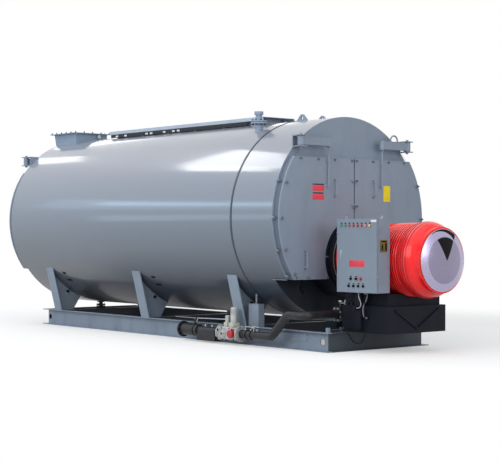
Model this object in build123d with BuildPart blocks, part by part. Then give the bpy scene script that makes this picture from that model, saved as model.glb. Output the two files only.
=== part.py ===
"""Packaged fire tube steam boiler on a channel skid, with a gas burner at the front.

Millimetres. X is to the right seen from the burner end, Y runs from the burner end to the
rear and Z is up. The origin is on the floor under the middle of the whole object. Places
along the boiler are measured from the front end plate, forward for the burner's and the
skid's front, and to the rear for all others.
"""
import os
from math import radians, sqrt, tan

from build123d import *

os.makedirs("parts", exist_ok=True)

# Running and seating clearances
fit_gap = 0.3
pin_gap = 0.3
door_gap = 5.0
fork_gap = 5.0

# Clad vessel
shell_radius = 1350.0
shell_bottom_z = 360.0
shell_length = 6570.0
cladding_wall = 12.0
strap_width = 30.0
strap_wall = 5.0
strap_back = 835.0

# Smokeboxes and their doors, the same at both ends
end_plate_wall = 10.0
frame_inset = 25.0
frame_wall = 40.0
frame_reach = 75.0
door_wall = 27.0
door_plug_depth = 55.0
door_plug_inset = 70.0
door_rise = 787.0
door_drop = 803.0
floor_wall = 12.0
front_box_depth = 250.0
rear_box_depth = 620.0
rear_plate_back = 90.0
tube_plate_wall = 25.0
rear_rim_wall = 10.0

# Door hangers
davit_clearance = 43.0
davit_stand_off = 140.0
davit_arm_length = 490.0
arm_width = 70.0
arm_height = 104.0
hub_radius = 45.0
hub_height = 116.0
hub_clearance = 5.0
rod_radius = 10.0
rod_drop = 383.0
rod_lug_height = 40.0
rod_lug_width = 26.0
pin_radius = 18.0
fork_wall = 14.0
fork_width = 130.0
fork_taper = 50.0
gusset_wall = 14.0
gusset_reach = 160.0
handle_radius = 8.0
handle_reach = 45.0
handle_length = 180.0
upper_handle_x = 360.0
upper_handle_rise = 387.0
lower_handle_x = 884.0
lower_handle_drop = 555.0

# Skid of mitred channels
skid_half_width = 935.0
skid_front = 595.0
skid_rear_back = 312.0
beam_height = 250.0
beam_flange = 80.0
flange_wall = 12.0
web_wall = 10.0
cross_flange = 60.0
lifting_hole_radius = 42.0
front_hole_back = 170.0
rear_hole_back = 130.0
web_plate_wall = 8.0
web_plate_front = 138.0
web_plate_length = 470.0
web_plate_low_z = 113.0
web_plate_height = 105.0

# Saddle legs
front_leg = 1105.0
middle_leg = 3350.0
rear_leg_back = 800.0
leg_foot_inner = 658.0
leg_top_inner = 520.0
leg_top_outer = 1120.0
leg_top_drop = 734.0
leg_flange_width = 200.0
leg_flange_wall = 12.0
leg_web_wall = 14.0
leg_hole_radius = 22.0
leg_hole_x = 770.0
leg_hole_z = 552.0

# Burner
burner_drop = 536.0
burner_reach = 1745.0
throat_radius = 512.0
throat_bore = 330.0
throat_reach = 130.0
burner_collar_radius = 485.0
burner_collar_end = 205.0
barrel_rear_radius = 426.0
barrel_front_radius = 462.0
barrel_front = 1140.0
rib_start = 330.0
rib_count = 11
rib_pitch = 60.0
rib_width = 22.0
rib_height = 9.0
ring_radius = 482.0
ring_rear = 1325.0
ring_middle = 1475.0
ring_front = 1590.0
step_radius = 415.0
dome_radius = 389.0
dome_rim = 1660.0
dome_wall = 12.0

# Burner base, with its cradle and the post that holds the cabinet
base_half_width = 535.0
base_drop = 582.0
base_front = 1246.0
base_rear = 440.0
cradle_half_width = 478.0
cradle_height = 156.0
cradle_front = 1194.0
cradle_gap = 14.0
stiffener_wall = 20.0
stiffener_width = 26.0
stiffener_half_span = 400.0
stiffener_top_drop = 62.0
stiffener_rise = 40.0
post_outer_x = 610.0
post_front = 850.0
post_rear = 740.0
post_rise = 50.0

# Control cabinet beside the burner
cabinet_outer_x = 727.0
cabinet_inner_x = 495.0
cabinet_front = 1243.0
cabinet_rear = 540.0
cabinet_drop = 408.0
cabinet_height = 923.0
cabinet_wall = 4.0
cabinet_door_wall = 20.0
hinge_radius = 7.0
hinge_pin_radius = 4.0
hinge_out = 9.0
hinge_length = 90.0
hinge_leaf = 6.0
hinge_reach = 37.0
hinge_margin = 120.0

# Gas train along the left beam
gas_x = 1090.0
gas_low_z = 156.0
gas_high_z = 458.0
gas_pipe_radius = 57.0
gas_bend_radius = 115.0
gas_inlet = 2210.0
gas_flange_radius = 111.0
gas_flange_wall = 22.0
gas_bore_radius = 51.0
gas_bore_depth = 90.0
gas_bolt_circle = 180.0
gas_bolt_count = 8
gas_bolt_radius = 9.0
valve_neck_radius = 58.0
valve_body_radius = 85.0
valve_body_rear = 2165.0
valve_body_front = 1905.0
valve_collar_radius = 80.0
valve_collar = 60.0
valve_stem_radius = 18.0
valve_spigot_radius = 11.0
valve_stem_back = 1930.0
lever_z = 318.0
lever_length = 440.0
lever_width = 30.0
lever_wall = 8.0
lever_hub_radius = 24.0
filter_rear = 1830.0
filter_neck = 15.0
filter_neck_radius = 48.0
filter_length = 395.0
filter_radius = 62.0
filter_bottom_z = 25.0
block_flange_wall = 22.0
block_rear = 1323.0
block_front = 940.0
block_half = 88.0
block_corner = 22.0
actuator_top_z = 490.0
actuator_radius = 50.0
actuator_neck_radius = 24.0
actuator_foot_z = 300.0
switch_top_z = 383.0
switch_radius = 36.0
actuator_back = 1075.0
switch_back = 1208.0
cap_back = 1010.0
cap_radius = 54.0
cap_reach = 60.0
bend_low = 305.0
bend_high = -10.0
gas_turn_front = 316.0
butterfly_x = 520.0
butterfly_length = 160.0
butterfly_body_radius = 66.0
butterfly_flange_radius = 100.0
butterfly_flange_wall = 20.0
spindle_radius = 22.0
spindle_top_z = 620.0
riser_x = 230.0

# Fittings on the crown and under the shell
flue_x = -175.0
flue_front_back = 608.0
flue_width = 610.0
flue_lean = 70.0
flue_rise = 108.0
flue_sink = 48.0
flue_wall = 12.0
flue_flange = 50.0
flue_hole_inset = 60.0
walkway_front = 1415.0
walkway_rear_back = 1340.0
walkway_half_width = 300.0
walkway_rise = 85.0
walkway_deck = 8.0
walkway_side = 50.0
walkway_side_wall = 12.0
walkway_bearer_x = 225.0
walkway_saddles = 6
walkway_end_margin = 200.0
shoulder_x = 623.0
shoulder_station = 1120.0
shoulder_flange_rise = 96.0
shoulder_flange_radius = 110.0
shoulder_flange_wall = 20.0
shoulder_gasket = 6.0
shoulder_neck_radius = 53.0
shoulder_stub_radius = 45.0
shoulder_cap_radius = 62.0
shoulder_cap_height = 45.0
shoulder_height = 265.0
lug_x = 187.0
lug_station = 713.0
lug_rise = 76.0
lug_wall = 24.0
lug_radius = 52.0
lug_foot_half = 100.0
lug_hole_radius = 24.0
blowdown_back = 630.0
blowdown_pad_radius = 62.0
blowdown_pad = 18.0
blowdown_neck_radius = 30.0
blowdown_flange_radius = 75.0
blowdown_flange_z = 263.0
blowdown_flange_wall = 18.0
blowdown_pipe_radius = 27.0
blowdown_bottom_z = 150.0

# Junction box on the left beam
junction_front = 748.0
junction_rear = 955.0
junction_depth = 100.0
junction_height = 308.0
conduit_radius = 12.0

# Cables under the cabinet, with the fittings that hold their ends
gland_radius = 13.0
gland_height = 20.0
white_cable_radius = 5.0
flexible_radius = 9.0
loop_cable_radius = 7.0
plug_half = 22.0
plug_front = 800.0
plug_rear = 750.0
plug_middle_z = 565.0
entry_x = 642.0
entry_half_width = 23.0
entry_front = 560.0
entry_rear = 522.0
entry_height = 60.0
corner_box_x = 880.0
skid_conduit_radius = 10.0

# Sizes that follow from those above; the whole object is centred on the origin along Y
shell_axis_z = shell_bottom_z + shell_radius
crown_z = shell_axis_z + shell_radius
smokebox_radius = shell_radius - frame_inset
door_top_z = shell_axis_z + door_rise
door_bottom_z = shell_axis_z - door_drop
davit_offset = (shell_radius + davit_clearance) / sqrt(2)
davit_z = shell_axis_z + davit_offset
burner_axis_z = shell_axis_z - burner_drop
base_top_z = burner_axis_z - base_drop
cabinet_bottom_z = burner_axis_z - cabinet_drop
beam_x = skid_half_width - beam_flange
fork_reach = davit_stand_off + hub_radius + hub_clearance
barrel_slope = (barrel_front_radius - barrel_rear_radius) / (barrel_front - burner_collar_end)
first_rib_radius = barrel_rear_radius + barrel_slope * (rib_start - burner_collar_end) + rib_height
front_y = (burner_reach - shell_length - fork_reach) / 2
rear_y = front_y + shell_length
gland_end_z = cabinet_bottom_z - gland_height
entry_z = beam_height + entry_height / 2

# Routes of the cables, from the cabinet's glands to the post, the base and the skid
white_cable_route = (
    (-650, front_y - 853, gland_end_z),
    (-650, front_y - 853, 702),
    (-646, front_y - 879, 657),
    (-640, front_y - 886, 612),
    (-634, front_y - 864, 578),
    (-632, front_y - 828, plug_middle_z),
    (-632, front_y - plug_front, plug_middle_z),
)
flexible_route = (
    (-650, front_y - 1002, gland_end_z),
    (-650, front_y - 1002, 694),
    (-643, front_y - 962, 642),
    (-631, front_y - 920, 590),
    (-618, front_y - 896, 540),
    (-611, front_y - 896, 497),
    (-599, front_y - 899, 462),
    (-580, front_y - 905, 440),
    (-base_half_width - gland_height, front_y - 905, 440),
)
loop_cable_route = (
    (-684, front_y - 1000, gland_end_z),
    (-684, front_y - 1000, 640),
    (-686, front_y - 989, 530),
    (-681, front_y - 1000, 420),
    (-677, front_y - 1006, 320),
    (-674, front_y - 990, 225),
    (-671, front_y - 940, 152),
    (-668, front_y - 868, 120),
    (-664, front_y - 790, 132),
    (-657, front_y - 718, 186),
    (-650, front_y - 662, 246),
    (-entry_x, front_y - 606, entry_z),
    (-entry_x, front_y - entry_front, entry_z),
)


def face_plane(y, z=0.0):
    """Upright plane across the boiler: X to the right, Z up, normal to the front."""
    return Plane(origin=(0, y, z), x_dir=(1, 0, 0), z_dir=(0, -1, 0))


def finish(part, name):
    """Label one finished piece and write it to its own file."""
    part.label = name
    export_step(part, f"parts/{name}.step")


def shell_drop(x):
    """Height of the shell's underside at a distance x from the middle."""
    return shell_axis_z - sqrt(shell_radius**2 - x**2)


def shell_rise(x):
    """Height of the shell's crown at a distance x from the middle."""
    return shell_axis_z + sqrt(shell_radius**2 - x**2)


def cut_to_shell(clearance=fit_gap):
    """Cut the part in the open block to the outside of the cladding."""
    with BuildSketch(face_plane(front_y, shell_axis_z)) as outside:
        Circle(shell_radius + clearance)
    extrude(outside.sketch, amount=2 * shell_length, both=True, mode=Mode.SUBTRACT)


def stack_rounds(x, y, levels):
    """Upright rounds on one axis, each given by its foot, radius and height."""
    for z, radius, height in levels:
        with BuildSketch(Plane((x, y, z))) as level:
            Circle(radius)
        extrude(level.sketch, amount=height)


def skid_beam(corner_a, corner_b, inward, holes, plates):
    """Channel with its toes outward, mitred where it meets the next beam."""
    mid = (corner_a + corner_b) / 2
    length = (corner_b - corner_a).length
    along_beam = (corner_b - corner_a).normalized()
    section = Plane(origin=mid, x_dir=inward, z_dir=inward.cross(Vector(0, 0, 1)))
    web = Plane(origin=mid + inward * (beam_flange - web_wall), x_dir=along_beam, z_dir=inward)
    up = web.y_dir.Z
    with BuildPart() as beam:
        with BuildSketch(section):
            with BuildLine():
                Polyline(
                    (0, 0),
                    (beam_flange, 0),
                    (beam_flange, beam_height),
                    (0, beam_height),
                    (0, beam_height - flange_wall),
                    (beam_flange - web_wall, beam_height - flange_wall),
                    (beam_flange - web_wall, flange_wall),
                    (0, flange_wall),
                    close=True,
                )
            make_face()
        extrude(amount=length / 2, both=True)
        for way in (1, -1):
            along = section.z_dir * way
            mitre = Plane(origin=mid + along * (length / 2), z_dir=inward + along)
            split(bisect_by=mitre, keep=Keep.BOTTOM)
        if holes:
            with BuildSketch(web):
                with Locations(*[(y, up * beam_height / 2) for y in holes]):
                    Circle(lifting_hole_radius)
            extrude(amount=beam_flange, both=True, mode=Mode.SUBTRACT)
        if plates:
            with BuildSketch(web):
                with Locations(*[(y, up * (web_plate_low_z + web_plate_height / 2)) for y in plates]):
                    RectangleRounded(web_plate_length, web_plate_height, web_plate_height / 4)
            extrude(amount=-web_plate_wall)
    return beam.part


def skid_conduit():
    """Rigid conduit on the front channel, with a cable entry and a box at its ends."""
    y = front_y - (entry_front + entry_rear) / 2
    on_beam = (Align.CENTER, Align.CENTER, Align.MIN)
    with BuildPart() as conduit:
        for x in (entry_x, corner_box_x):
            with Locations((-x, y, beam_height)):
                Box(2 * entry_half_width, entry_front - entry_rear, entry_height, align=on_beam)
        with BuildSketch(Plane(origin=(-entry_x, y, entry_z), z_dir=(-1, 0, 0))):
            Circle(skid_conduit_radius)
        extrude(amount=corner_box_x - entry_x)
    return conduit.part


def make_skid():
    """Four mitred channels and the cross beams under the legs and the burner base."""
    front = front_y - skid_front
    rear = rear_y - skid_rear_back
    middle = (front + rear) / 2
    holes = (front + front_hole_back - middle, rear - rear_hole_back - middle)
    plate = front_y - web_plate_front + web_plate_length / 2 - middle
    for name, side in (("left", -1), ("right", 1)):
        x = side * skid_half_width
        ends = Vector(x, front, 0), Vector(x, rear, 0)
        finish(skid_beam(*ends, Vector(-side, 0, 0), holes, (plate,)), f"skid_{name}_beam")
    for name, y, side in (("front", front, 1), ("rear", rear, -1)):
        ends = Vector(-skid_half_width, y, 0), Vector(skid_half_width, y, 0)
        with BuildPart() as cross_beam:
            add(skid_beam(*ends, Vector(0, side, 0), (), ()))
            if name == "front":
                add(skid_conduit())
        finish(cross_beam.part, f"skid_{name}_beam")
    crossings = {
        "burner": front + beam_flange + cross_flange / 2,
        "front_leg": front_y + front_leg,
        "middle_leg": front_y + middle_leg,
        "rear_leg": rear_y - rear_leg_back,
    }
    for name, y in crossings.items():
        with BuildPart() as cross:
            with BuildSketch(Plane(origin=(0, y, beam_height / 2), x_dir=(0, 1, 0), z_dir=(1, 0, 0))):
                Rectangle(cross_flange, beam_height)
                for toe in (-1, 1):
                    with Locations((toe * cross_flange / 2, 0)):
                        Rectangle(cross_flange - web_wall, beam_height - 2 * flange_wall, mode=Mode.SUBTRACT)
            extrude(amount=beam_x, both=True)
        finish(cross.part, f"skid_{name}_cross_beam")


def saddle_leg(side, y):
    """Web plate cut to the shell's round, with a wide flange leaning out under it."""
    top_z = shell_axis_z - leg_top_drop
    with BuildPart() as leg:
        with BuildSketch(face_plane(y)):
            with BuildLine():
                Polyline(
                    (side * skid_half_width, beam_height),
                    (side * leg_foot_inner, beam_height),
                    (side * leg_top_inner, shell_drop(leg_top_inner)),
                    (side * leg_top_inner, top_z),
                    (side * leg_top_outer, top_z),
                    close=True,
                )
            make_face()
            with Locations((side * leg_hole_x, leg_hole_z)):
                Circle(leg_hole_radius, mode=Mode.SUBTRACT)
        extrude(amount=leg_web_wall / 2, both=True)
        with BuildSketch(face_plane(y)):
            with BuildLine():
                Polyline(
                    (side * skid_half_width, beam_height),
                    (side * (skid_half_width - leg_flange_wall), beam_height),
                    (side * (leg_top_outer - leg_flange_wall), top_z),
                    (side * leg_top_outer, top_z),
                    close=True,
                )
            make_face()
        extrude(amount=leg_flange_width / 2, both=True)
        cut_to_shell()
    return leg.part


def make_legs():
    """Three pairs of legs between the skid and the shell."""
    stations = {"front": front_y + front_leg, "middle": front_y + middle_leg, "rear": rear_y - rear_leg_back}
    for place, y in stations.items():
        for name, side in (("left", -1), ("right", 1)):
            finish(saddle_leg(side, y), f"{name}_{place}_leg")


def below_doors(y, depth):
    """Cut everything below the door's bottom edge from y to the rear by the given depth."""
    with BuildSketch(face_plane(y)) as below:
        with Locations((0, door_bottom_z)):
            Rectangle(2 * shell_radius, shell_radius, align=(Align.CENTER, Align.MAX))
    extrude(below.sketch, amount=-depth, mode=Mode.SUBTRACT)


def make_cladding():
    """Round cladding, cut away under the smokeboxes and under the flue outlet."""
    with BuildPart() as cladding:
        with BuildSketch(face_plane(front_y + end_plate_wall, shell_axis_z)):
            Circle(shell_radius)
            Circle(shell_radius - cladding_wall, mode=Mode.SUBTRACT)
        extrude(amount=2 * end_plate_wall - shell_length)
        below_doors(front_y, front_box_depth)
        below_doors(rear_y - rear_plate_back, rear_plate_back)
        with BuildSketch(Plane((flue_x, rear_y - flue_front_back / 2, shell_axis_z))):
            Rectangle(flue_width - 2 * flue_hole_inset, flue_front_back - 2 * flue_hole_inset)
        extrude(amount=shell_radius + cladding_wall, mode=Mode.SUBTRACT)
    finish(cladding.part, "shell_cladding")
    with BuildPart() as strap:
        with BuildSketch(face_plane(front_y + strap_back, shell_axis_z)):
            Circle(shell_radius + fit_gap + strap_wall)
            Circle(shell_radius + fit_gap, mode=Mode.SUBTRACT)
        extrude(amount=strap_width / 2, both=True)
    finish(strap.part, "cladding_seam_strap")


def door_region(radius, inset=0.0):
    """Circle of the given radius cut off flat at the door's top and bottom edges."""
    with BuildSketch() as region:
        with Locations((0, shell_axis_z)):
            Circle(radius)
        with Locations((0, door_bottom_z + inset)):
            Rectangle(
                2 * radius,
                door_top_z - door_bottom_z - 2 * inset,
                align=(Align.CENTER, Align.MIN),
                mode=Mode.INTERSECT,
            )
    return region.sketch


def end_plate(y, outward, throat):
    """Plate that closes the cladding round the smokebox opening."""
    with BuildPart() as plate:
        with BuildSketch(face_plane(y)):
            with Locations((0, shell_axis_z)):
                Circle(shell_radius)
            with Locations((0, door_bottom_z + floor_wall)):
                Rectangle(2 * shell_radius, shell_radius, align=(Align.CENTER, Align.MAX), mode=Mode.SUBTRACT)
            add(door_region(smokebox_radius - frame_wall, frame_wall), mode=Mode.SUBTRACT)
            if throat:
                with Locations((0, burner_axis_z)):
                    Circle(throat_radius + fit_gap, mode=Mode.SUBTRACT)
        extrude(amount=outward * end_plate_wall)
    return plate.part


def smokebox_frame(y, outward, floor_depth, throat):
    """Door frame that stands out from the end plate, with the smokebox floor behind it."""
    with BuildPart() as frame:
        with BuildSketch(face_plane(y)):
            add(door_region(smokebox_radius))
            add(door_region(smokebox_radius - frame_wall, frame_wall), mode=Mode.SUBTRACT)
        extrude(amount=outward * frame_reach)
        with BuildSketch(face_plane(y)):
            with Locations((0, shell_axis_z)):
                Circle(shell_radius - cladding_wall - fit_gap)
            with Locations((0, door_bottom_z)):
                Rectangle(2 * shell_radius, floor_wall, align=(Align.CENTER, Align.MIN), mode=Mode.INTERSECT)
        extrude(amount=-outward * floor_depth)
        if throat:
            with BuildSketch(face_plane(y, burner_axis_z)):
                Circle(throat_radius + fit_gap)
            extrude(amount=floor_depth + frame_reach, both=True, mode=Mode.SUBTRACT)
    return frame.part


def tube_plate(y, throat):
    """Round plate that the smoke tubes end in."""
    with BuildPart() as plate:
        with BuildSketch(face_plane(y, shell_axis_z)):
            Circle(shell_radius - cladding_wall - fit_gap)
            if throat:
                with Locations((0, burner_axis_z - shell_axis_z)):
                    Circle(throat_bore, mode=Mode.SUBTRACT)
        extrude(amount=-tube_plate_wall)
    return plate.part


def make_ends():
    """End plates, smokebox frames and tube plates of both ends."""
    finish(end_plate(front_y + end_plate_wall, 1, True), "front_end_plate")
    finish(end_plate(rear_y - end_plate_wall, -1, False), "rear_end_plate")
    finish(smokebox_frame(front_y, 1, front_box_depth, True), "front_smokebox_frame")
    finish(smokebox_frame(rear_y, -1, rear_box_depth, False), "rear_smokebox_frame")
    finish(tube_plate(front_y + front_box_depth, True), "front_tube_plate")
    finish(tube_plate(rear_y - rear_box_depth - tube_plate_wall, False), "rear_tube_plate")
    with BuildPart() as lower:
        with BuildSketch(face_plane(rear_y - rear_plate_back)):
            with Locations((0, shell_axis_z)):
                Circle(shell_radius - cladding_wall - fit_gap)
            with Locations((0, door_bottom_z)):
                Rectangle(2 * shell_radius, shell_radius, align=(Align.CENTER, Align.MAX), mode=Mode.INTERSECT)
        extrude(amount=rear_rim_wall)
    finish(lower.part, "rear_lower_plate")


def smokebox_door(side, y, outward, throat):
    """Half door with its sealing plug, pull handles and the rod it hangs from."""
    rod_x = side * (davit_offset - davit_arm_length)
    rod_y = y - outward * davit_stand_off
    rod_bottom_z = door_top_z - rod_drop
    back_y = y - outward * (frame_reach + door_gap)
    front = back_y - outward * door_wall
    half = Align.MIN if side > 0 else Align.MAX
    with BuildPart() as door:
        with BuildSketch(face_plane(back_y)):
            add(door_region(smokebox_radius))
            with Locations((side * door_gap / 2, 0)):
                Rectangle(2 * shell_radius, 2 * crown_z, align=(half, Align.CENTER), mode=Mode.INTERSECT)
        extrude(amount=outward * door_wall)
        with BuildSketch(face_plane(back_y)):
            add(door_region(smokebox_radius - door_plug_inset, door_plug_inset))
            with Locations((side * (door_gap / 2 + door_plug_inset), 0)):
                Rectangle(2 * shell_radius, 2 * crown_z, align=(half, Align.CENTER), mode=Mode.INTERSECT)
        extrude(amount=-outward * door_plug_depth)
        if throat:
            with BuildSketch(face_plane(back_y, burner_axis_z)):
                Circle(throat_radius + 2 * door_gap)
            extrude(amount=2 * door_wall, both=True, mode=Mode.SUBTRACT)
            with BuildSketch(face_plane(back_y, burner_axis_z)):
                Circle(throat_radius + door_plug_inset)
            extrude(amount=-outward * door_plug_depth, mode=Mode.SUBTRACT)
        with BuildSketch(Plane((rod_x, rod_y, rod_bottom_z))):
            Circle(rod_radius)
        extrude(amount=davit_z + hub_height / 2 + fork_gap - rod_bottom_z)
        for z in (rod_bottom_z + rod_lug_height / 2, door_top_z - rod_lug_height):
            with Locations((rod_x, (rod_y + front) / 2, z)):
                Box(rod_lug_width, abs(rod_y - front), rod_lug_height)
        grips = (
            (upper_handle_x, shell_axis_z + upper_handle_rise),
            (lower_handle_x, shell_axis_z - lower_handle_drop),
        )
        for x, z in grips:
            out = front - outward * handle_reach
            with BuildLine() as grip:
                Polyline(
                    (side * x, front, z - handle_length / 2),
                    (side * x, out, z - handle_length / 2),
                    (side * x, out, z + handle_length / 2),
                    (side * x, front, z + handle_length / 2),
                )
            with BuildSketch(Plane(grip.line @ 0, z_dir=grip.line % 0)):
                Circle(handle_radius)
            sweep(transition=Transition.RIGHT)
    return door.part


def davit_arm(side, y, outward):
    """Arm that swings on the bracket's pin and carries the door's rod at its end."""
    pivot = (side * davit_offset, y - outward * davit_stand_off)
    rod = (side * (davit_offset - davit_arm_length), y - outward * davit_stand_off)
    with BuildPart() as arm:
        with BuildSketch(Plane.XY.offset(davit_z)):
            with Locations(((pivot[0] + rod[0]) / 2, pivot[1])):
                Rectangle(davit_arm_length, arm_width)
        extrude(amount=arm_height / 2, both=True)
        with BuildSketch(Plane.XY.offset(davit_z)):
            with Locations(pivot):
                Circle(hub_radius)
            with Locations(rod):
                Circle(arm_width / 2)
        extrude(amount=hub_height / 2, both=True)
        with BuildSketch(Plane.XY.offset(davit_z)):
            with Locations(pivot):
                Circle(pin_radius + pin_gap)
            with Locations(rod):
                Circle(rod_radius + pin_gap)
        extrude(amount=hub_height, both=True, mode=Mode.SUBTRACT)
    return arm.part


def davit_bracket(side, y, outward):
    """Fork of two tapered plates on a gusset that is cut to the cladding, with its pin."""
    pin_y = y - outward * davit_stand_off
    fork_mid = side * davit_offset
    fork_outer = side * (davit_offset + fork_width / 2)
    fork_inner = side * (davit_offset - fork_width / 2)
    fork_foot = side * (davit_offset + fork_width / 2 - fork_taper)
    fork_front = y - outward * fork_reach
    fork_back = y + outward * gusset_wall
    low = davit_z - hub_height / 2 - fork_gap - fork_wall / 2
    high = davit_z + hub_height / 2 + fork_gap + fork_wall / 2
    with BuildPart() as bracket:
        for z in (low, high):
            with BuildSketch(Plane.XY.offset(z)):
                with BuildLine():
                    Polyline(
                        (fork_inner, fork_back),
                        (fork_inner, fork_front),
                        (fork_outer, fork_front),
                        (fork_outer, pin_y),
                        (fork_foot, fork_back),
                        close=True,
                    )
                make_face()
            extrude(amount=fork_wall / 2, both=True)
        with BuildSketch(face_plane(y)):
            with Locations((fork_foot, davit_z)):
                Rectangle(
                    gusset_reach,
                    high - low + fork_wall,
                    align=(Align.MAX if side > 0 else Align.MIN, Align.CENTER),
                )
        extrude(amount=-outward * gusset_wall)
        with BuildSketch(face_plane(y, shell_axis_z)):
            Circle(shell_radius + fit_gap)
        extrude(amount=-outward * 2 * fork_reach, mode=Mode.SUBTRACT)
        with BuildSketch(Plane((fork_mid, pin_y, low - 2 * fork_wall))):
            Circle(pin_radius)
        extrude(amount=high - low + 4 * fork_wall)
    return bracket.part


def make_doors():
    """Four half doors with their arms and brackets."""
    for end, y, outward in (("front", front_y, 1), ("rear", rear_y, -1)):
        for name, side in (("left", -1), ("right", 1)):
            finish(smokebox_door(side, y, outward, end == "front"), f"{end}_{name}_door")
            finish(davit_arm(side, y, outward), f"{end}_{name}_davit_arm")
            finish(davit_bracket(side, y, outward), f"{end}_{name}_davit_bracket")


def make_burner():
    """Throat in the smokebox, ribbed barrel, front ring and dished cover."""
    axis = Plane(origin=(0, front_y, burner_axis_z), x_dir=(1, 0, 0), z_dir=(0, 0, -1))
    burner_line = Axis((0, front_y, burner_axis_z), (0, 1, 0))
    with BuildPart() as throat:
        with BuildSketch(face_plane(front_y + front_box_depth, burner_axis_z)):
            Circle(throat_radius)
        extrude(amount=front_box_depth + throat_reach)
        with BuildSketch(face_plane(front_y - throat_reach, burner_axis_z)):
            Circle(burner_collar_radius)
        extrude(amount=burner_collar_end - throat_reach)
        with BuildSketch(face_plane(front_y, burner_axis_z)):
            Circle(throat_bore)
        extrude(amount=front_box_depth + burner_collar_end, both=True, mode=Mode.SUBTRACT)
    finish(throat.part, "burner_throat")

    with BuildPart() as barrel:
        with BuildSketch(axis):
            with BuildLine():
                Polyline(
                    (0, burner_collar_end),
                    (barrel_rear_radius, burner_collar_end),
                    (barrel_front_radius, barrel_front),
                    (barrel_front_radius, ring_rear),
                    (0, ring_rear),
                    close=True,
                )
            make_face()
        revolve(axis=burner_line)
        with BuildSketch(face_plane(front_y - burner_collar_end, burner_axis_z)):
            Circle(throat_bore - fit_gap)
        extrude(amount=-(burner_collar_end + front_box_depth + tube_plate_wall))
        for index in range(rib_count):
            start = rib_start + index * rib_pitch
            rib_foot = barrel_rear_radius + barrel_slope * (start - burner_collar_end)
            with BuildSketch(face_plane(front_y - start, burner_axis_z)):
                Circle(rib_foot + rib_height)
            extrude(amount=rib_width)
    finish(barrel.part, "burner_barrel")

    with BuildPart() as ring:
        with BuildSketch(axis):
            with BuildLine():
                Line((0, ring_rear), (barrel_front_radius, ring_rear))
                ThreePointArc(
                    (barrel_front_radius, ring_rear),
                    (ring_radius, ring_middle),
                    (step_radius, ring_front),
                )
                Polyline((step_radius, ring_front), (step_radius, dome_rim), (0, dome_rim), (0, ring_rear))
            make_face()
        revolve(axis=burner_line)
    finish(ring.part, "burner_front_ring")

    rim = dome_rim + dome_wall
    rise = burner_reach - rim
    dish_radius = (dome_radius**2 + rise**2) / (2 * rise)
    middle = dome_radius / 2
    bulge = burner_reach - dish_radius + sqrt(dish_radius**2 - middle**2)
    with BuildPart() as dome:
        with BuildSketch(axis):
            with BuildLine():
                Polyline((0, dome_rim), (dome_radius, dome_rim), (dome_radius, rim))
                ThreePointArc((dome_radius, rim), (middle, bulge), (0, burner_reach))
                Line((0, burner_reach), (0, dome_rim))
            make_face()
        revolve(axis=burner_line)
    finish(dome.part, "burner_dished_cover")


def make_burner_base():
    """Box base with V stiffeners, a cradle for the barrel and the cabinet's post."""
    low = beam_height + stiffener_rise
    high = base_top_z - stiffener_top_drop
    with BuildPart() as base:
        with BuildSketch(face_plane(front_y - base_rear)):
            with Locations((0, beam_height)):
                Rectangle(2 * base_half_width, base_top_z - beam_height, align=(Align.CENTER, Align.MIN))
        extrude(amount=base_front - base_rear)
        for side in (-1, 1):
            with BuildSketch(face_plane(front_y - base_front)):
                with BuildLine():
                    Polyline(
                        (0, low),
                        (side * stiffener_half_span, high),
                        (side * stiffener_half_span, high + stiffener_width),
                        (0, low + stiffener_width),
                        close=True,
                    )
                make_face()
            extrude(amount=stiffener_wall)
        with BuildSketch(face_plane(front_y - base_rear)):
            with Locations((0, base_top_z)):
                Rectangle(2 * cradle_half_width, cradle_height, align=(Align.CENTER, Align.MIN))
        extrude(amount=cradle_front - base_rear)
        with BuildSketch(face_plane(front_y, burner_axis_z)):
            Circle(barrel_front_radius + cradle_gap)
        extrude(amount=burner_reach, mode=Mode.SUBTRACT)
        with BuildSketch(Plane.XY.offset(beam_height + post_rise)):
            with Locations((-base_half_width, front_y - (post_front + post_rear) / 2)):
                Rectangle(post_outer_x - base_half_width, post_front - post_rear, align=(Align.MAX, Align.CENTER))
        extrude(amount=cabinet_bottom_z - beam_height - post_rise)
        with Locations((-post_outer_x, front_y - (plug_front + plug_rear) / 2, plug_middle_z)):
            Box(2 * plug_half, plug_front - plug_rear, 2 * plug_half, align=(Align.MAX, Align.CENTER, Align.CENTER))
        _, flexible_y, flexible_z = flexible_route[-1]
        with BuildSketch(Plane(origin=(-base_half_width, flexible_y, flexible_z), z_dir=(-1, 0, 0))):
            Circle(gland_radius)
        extrude(amount=gland_height)
    finish(base.part, "burner_base")


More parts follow.
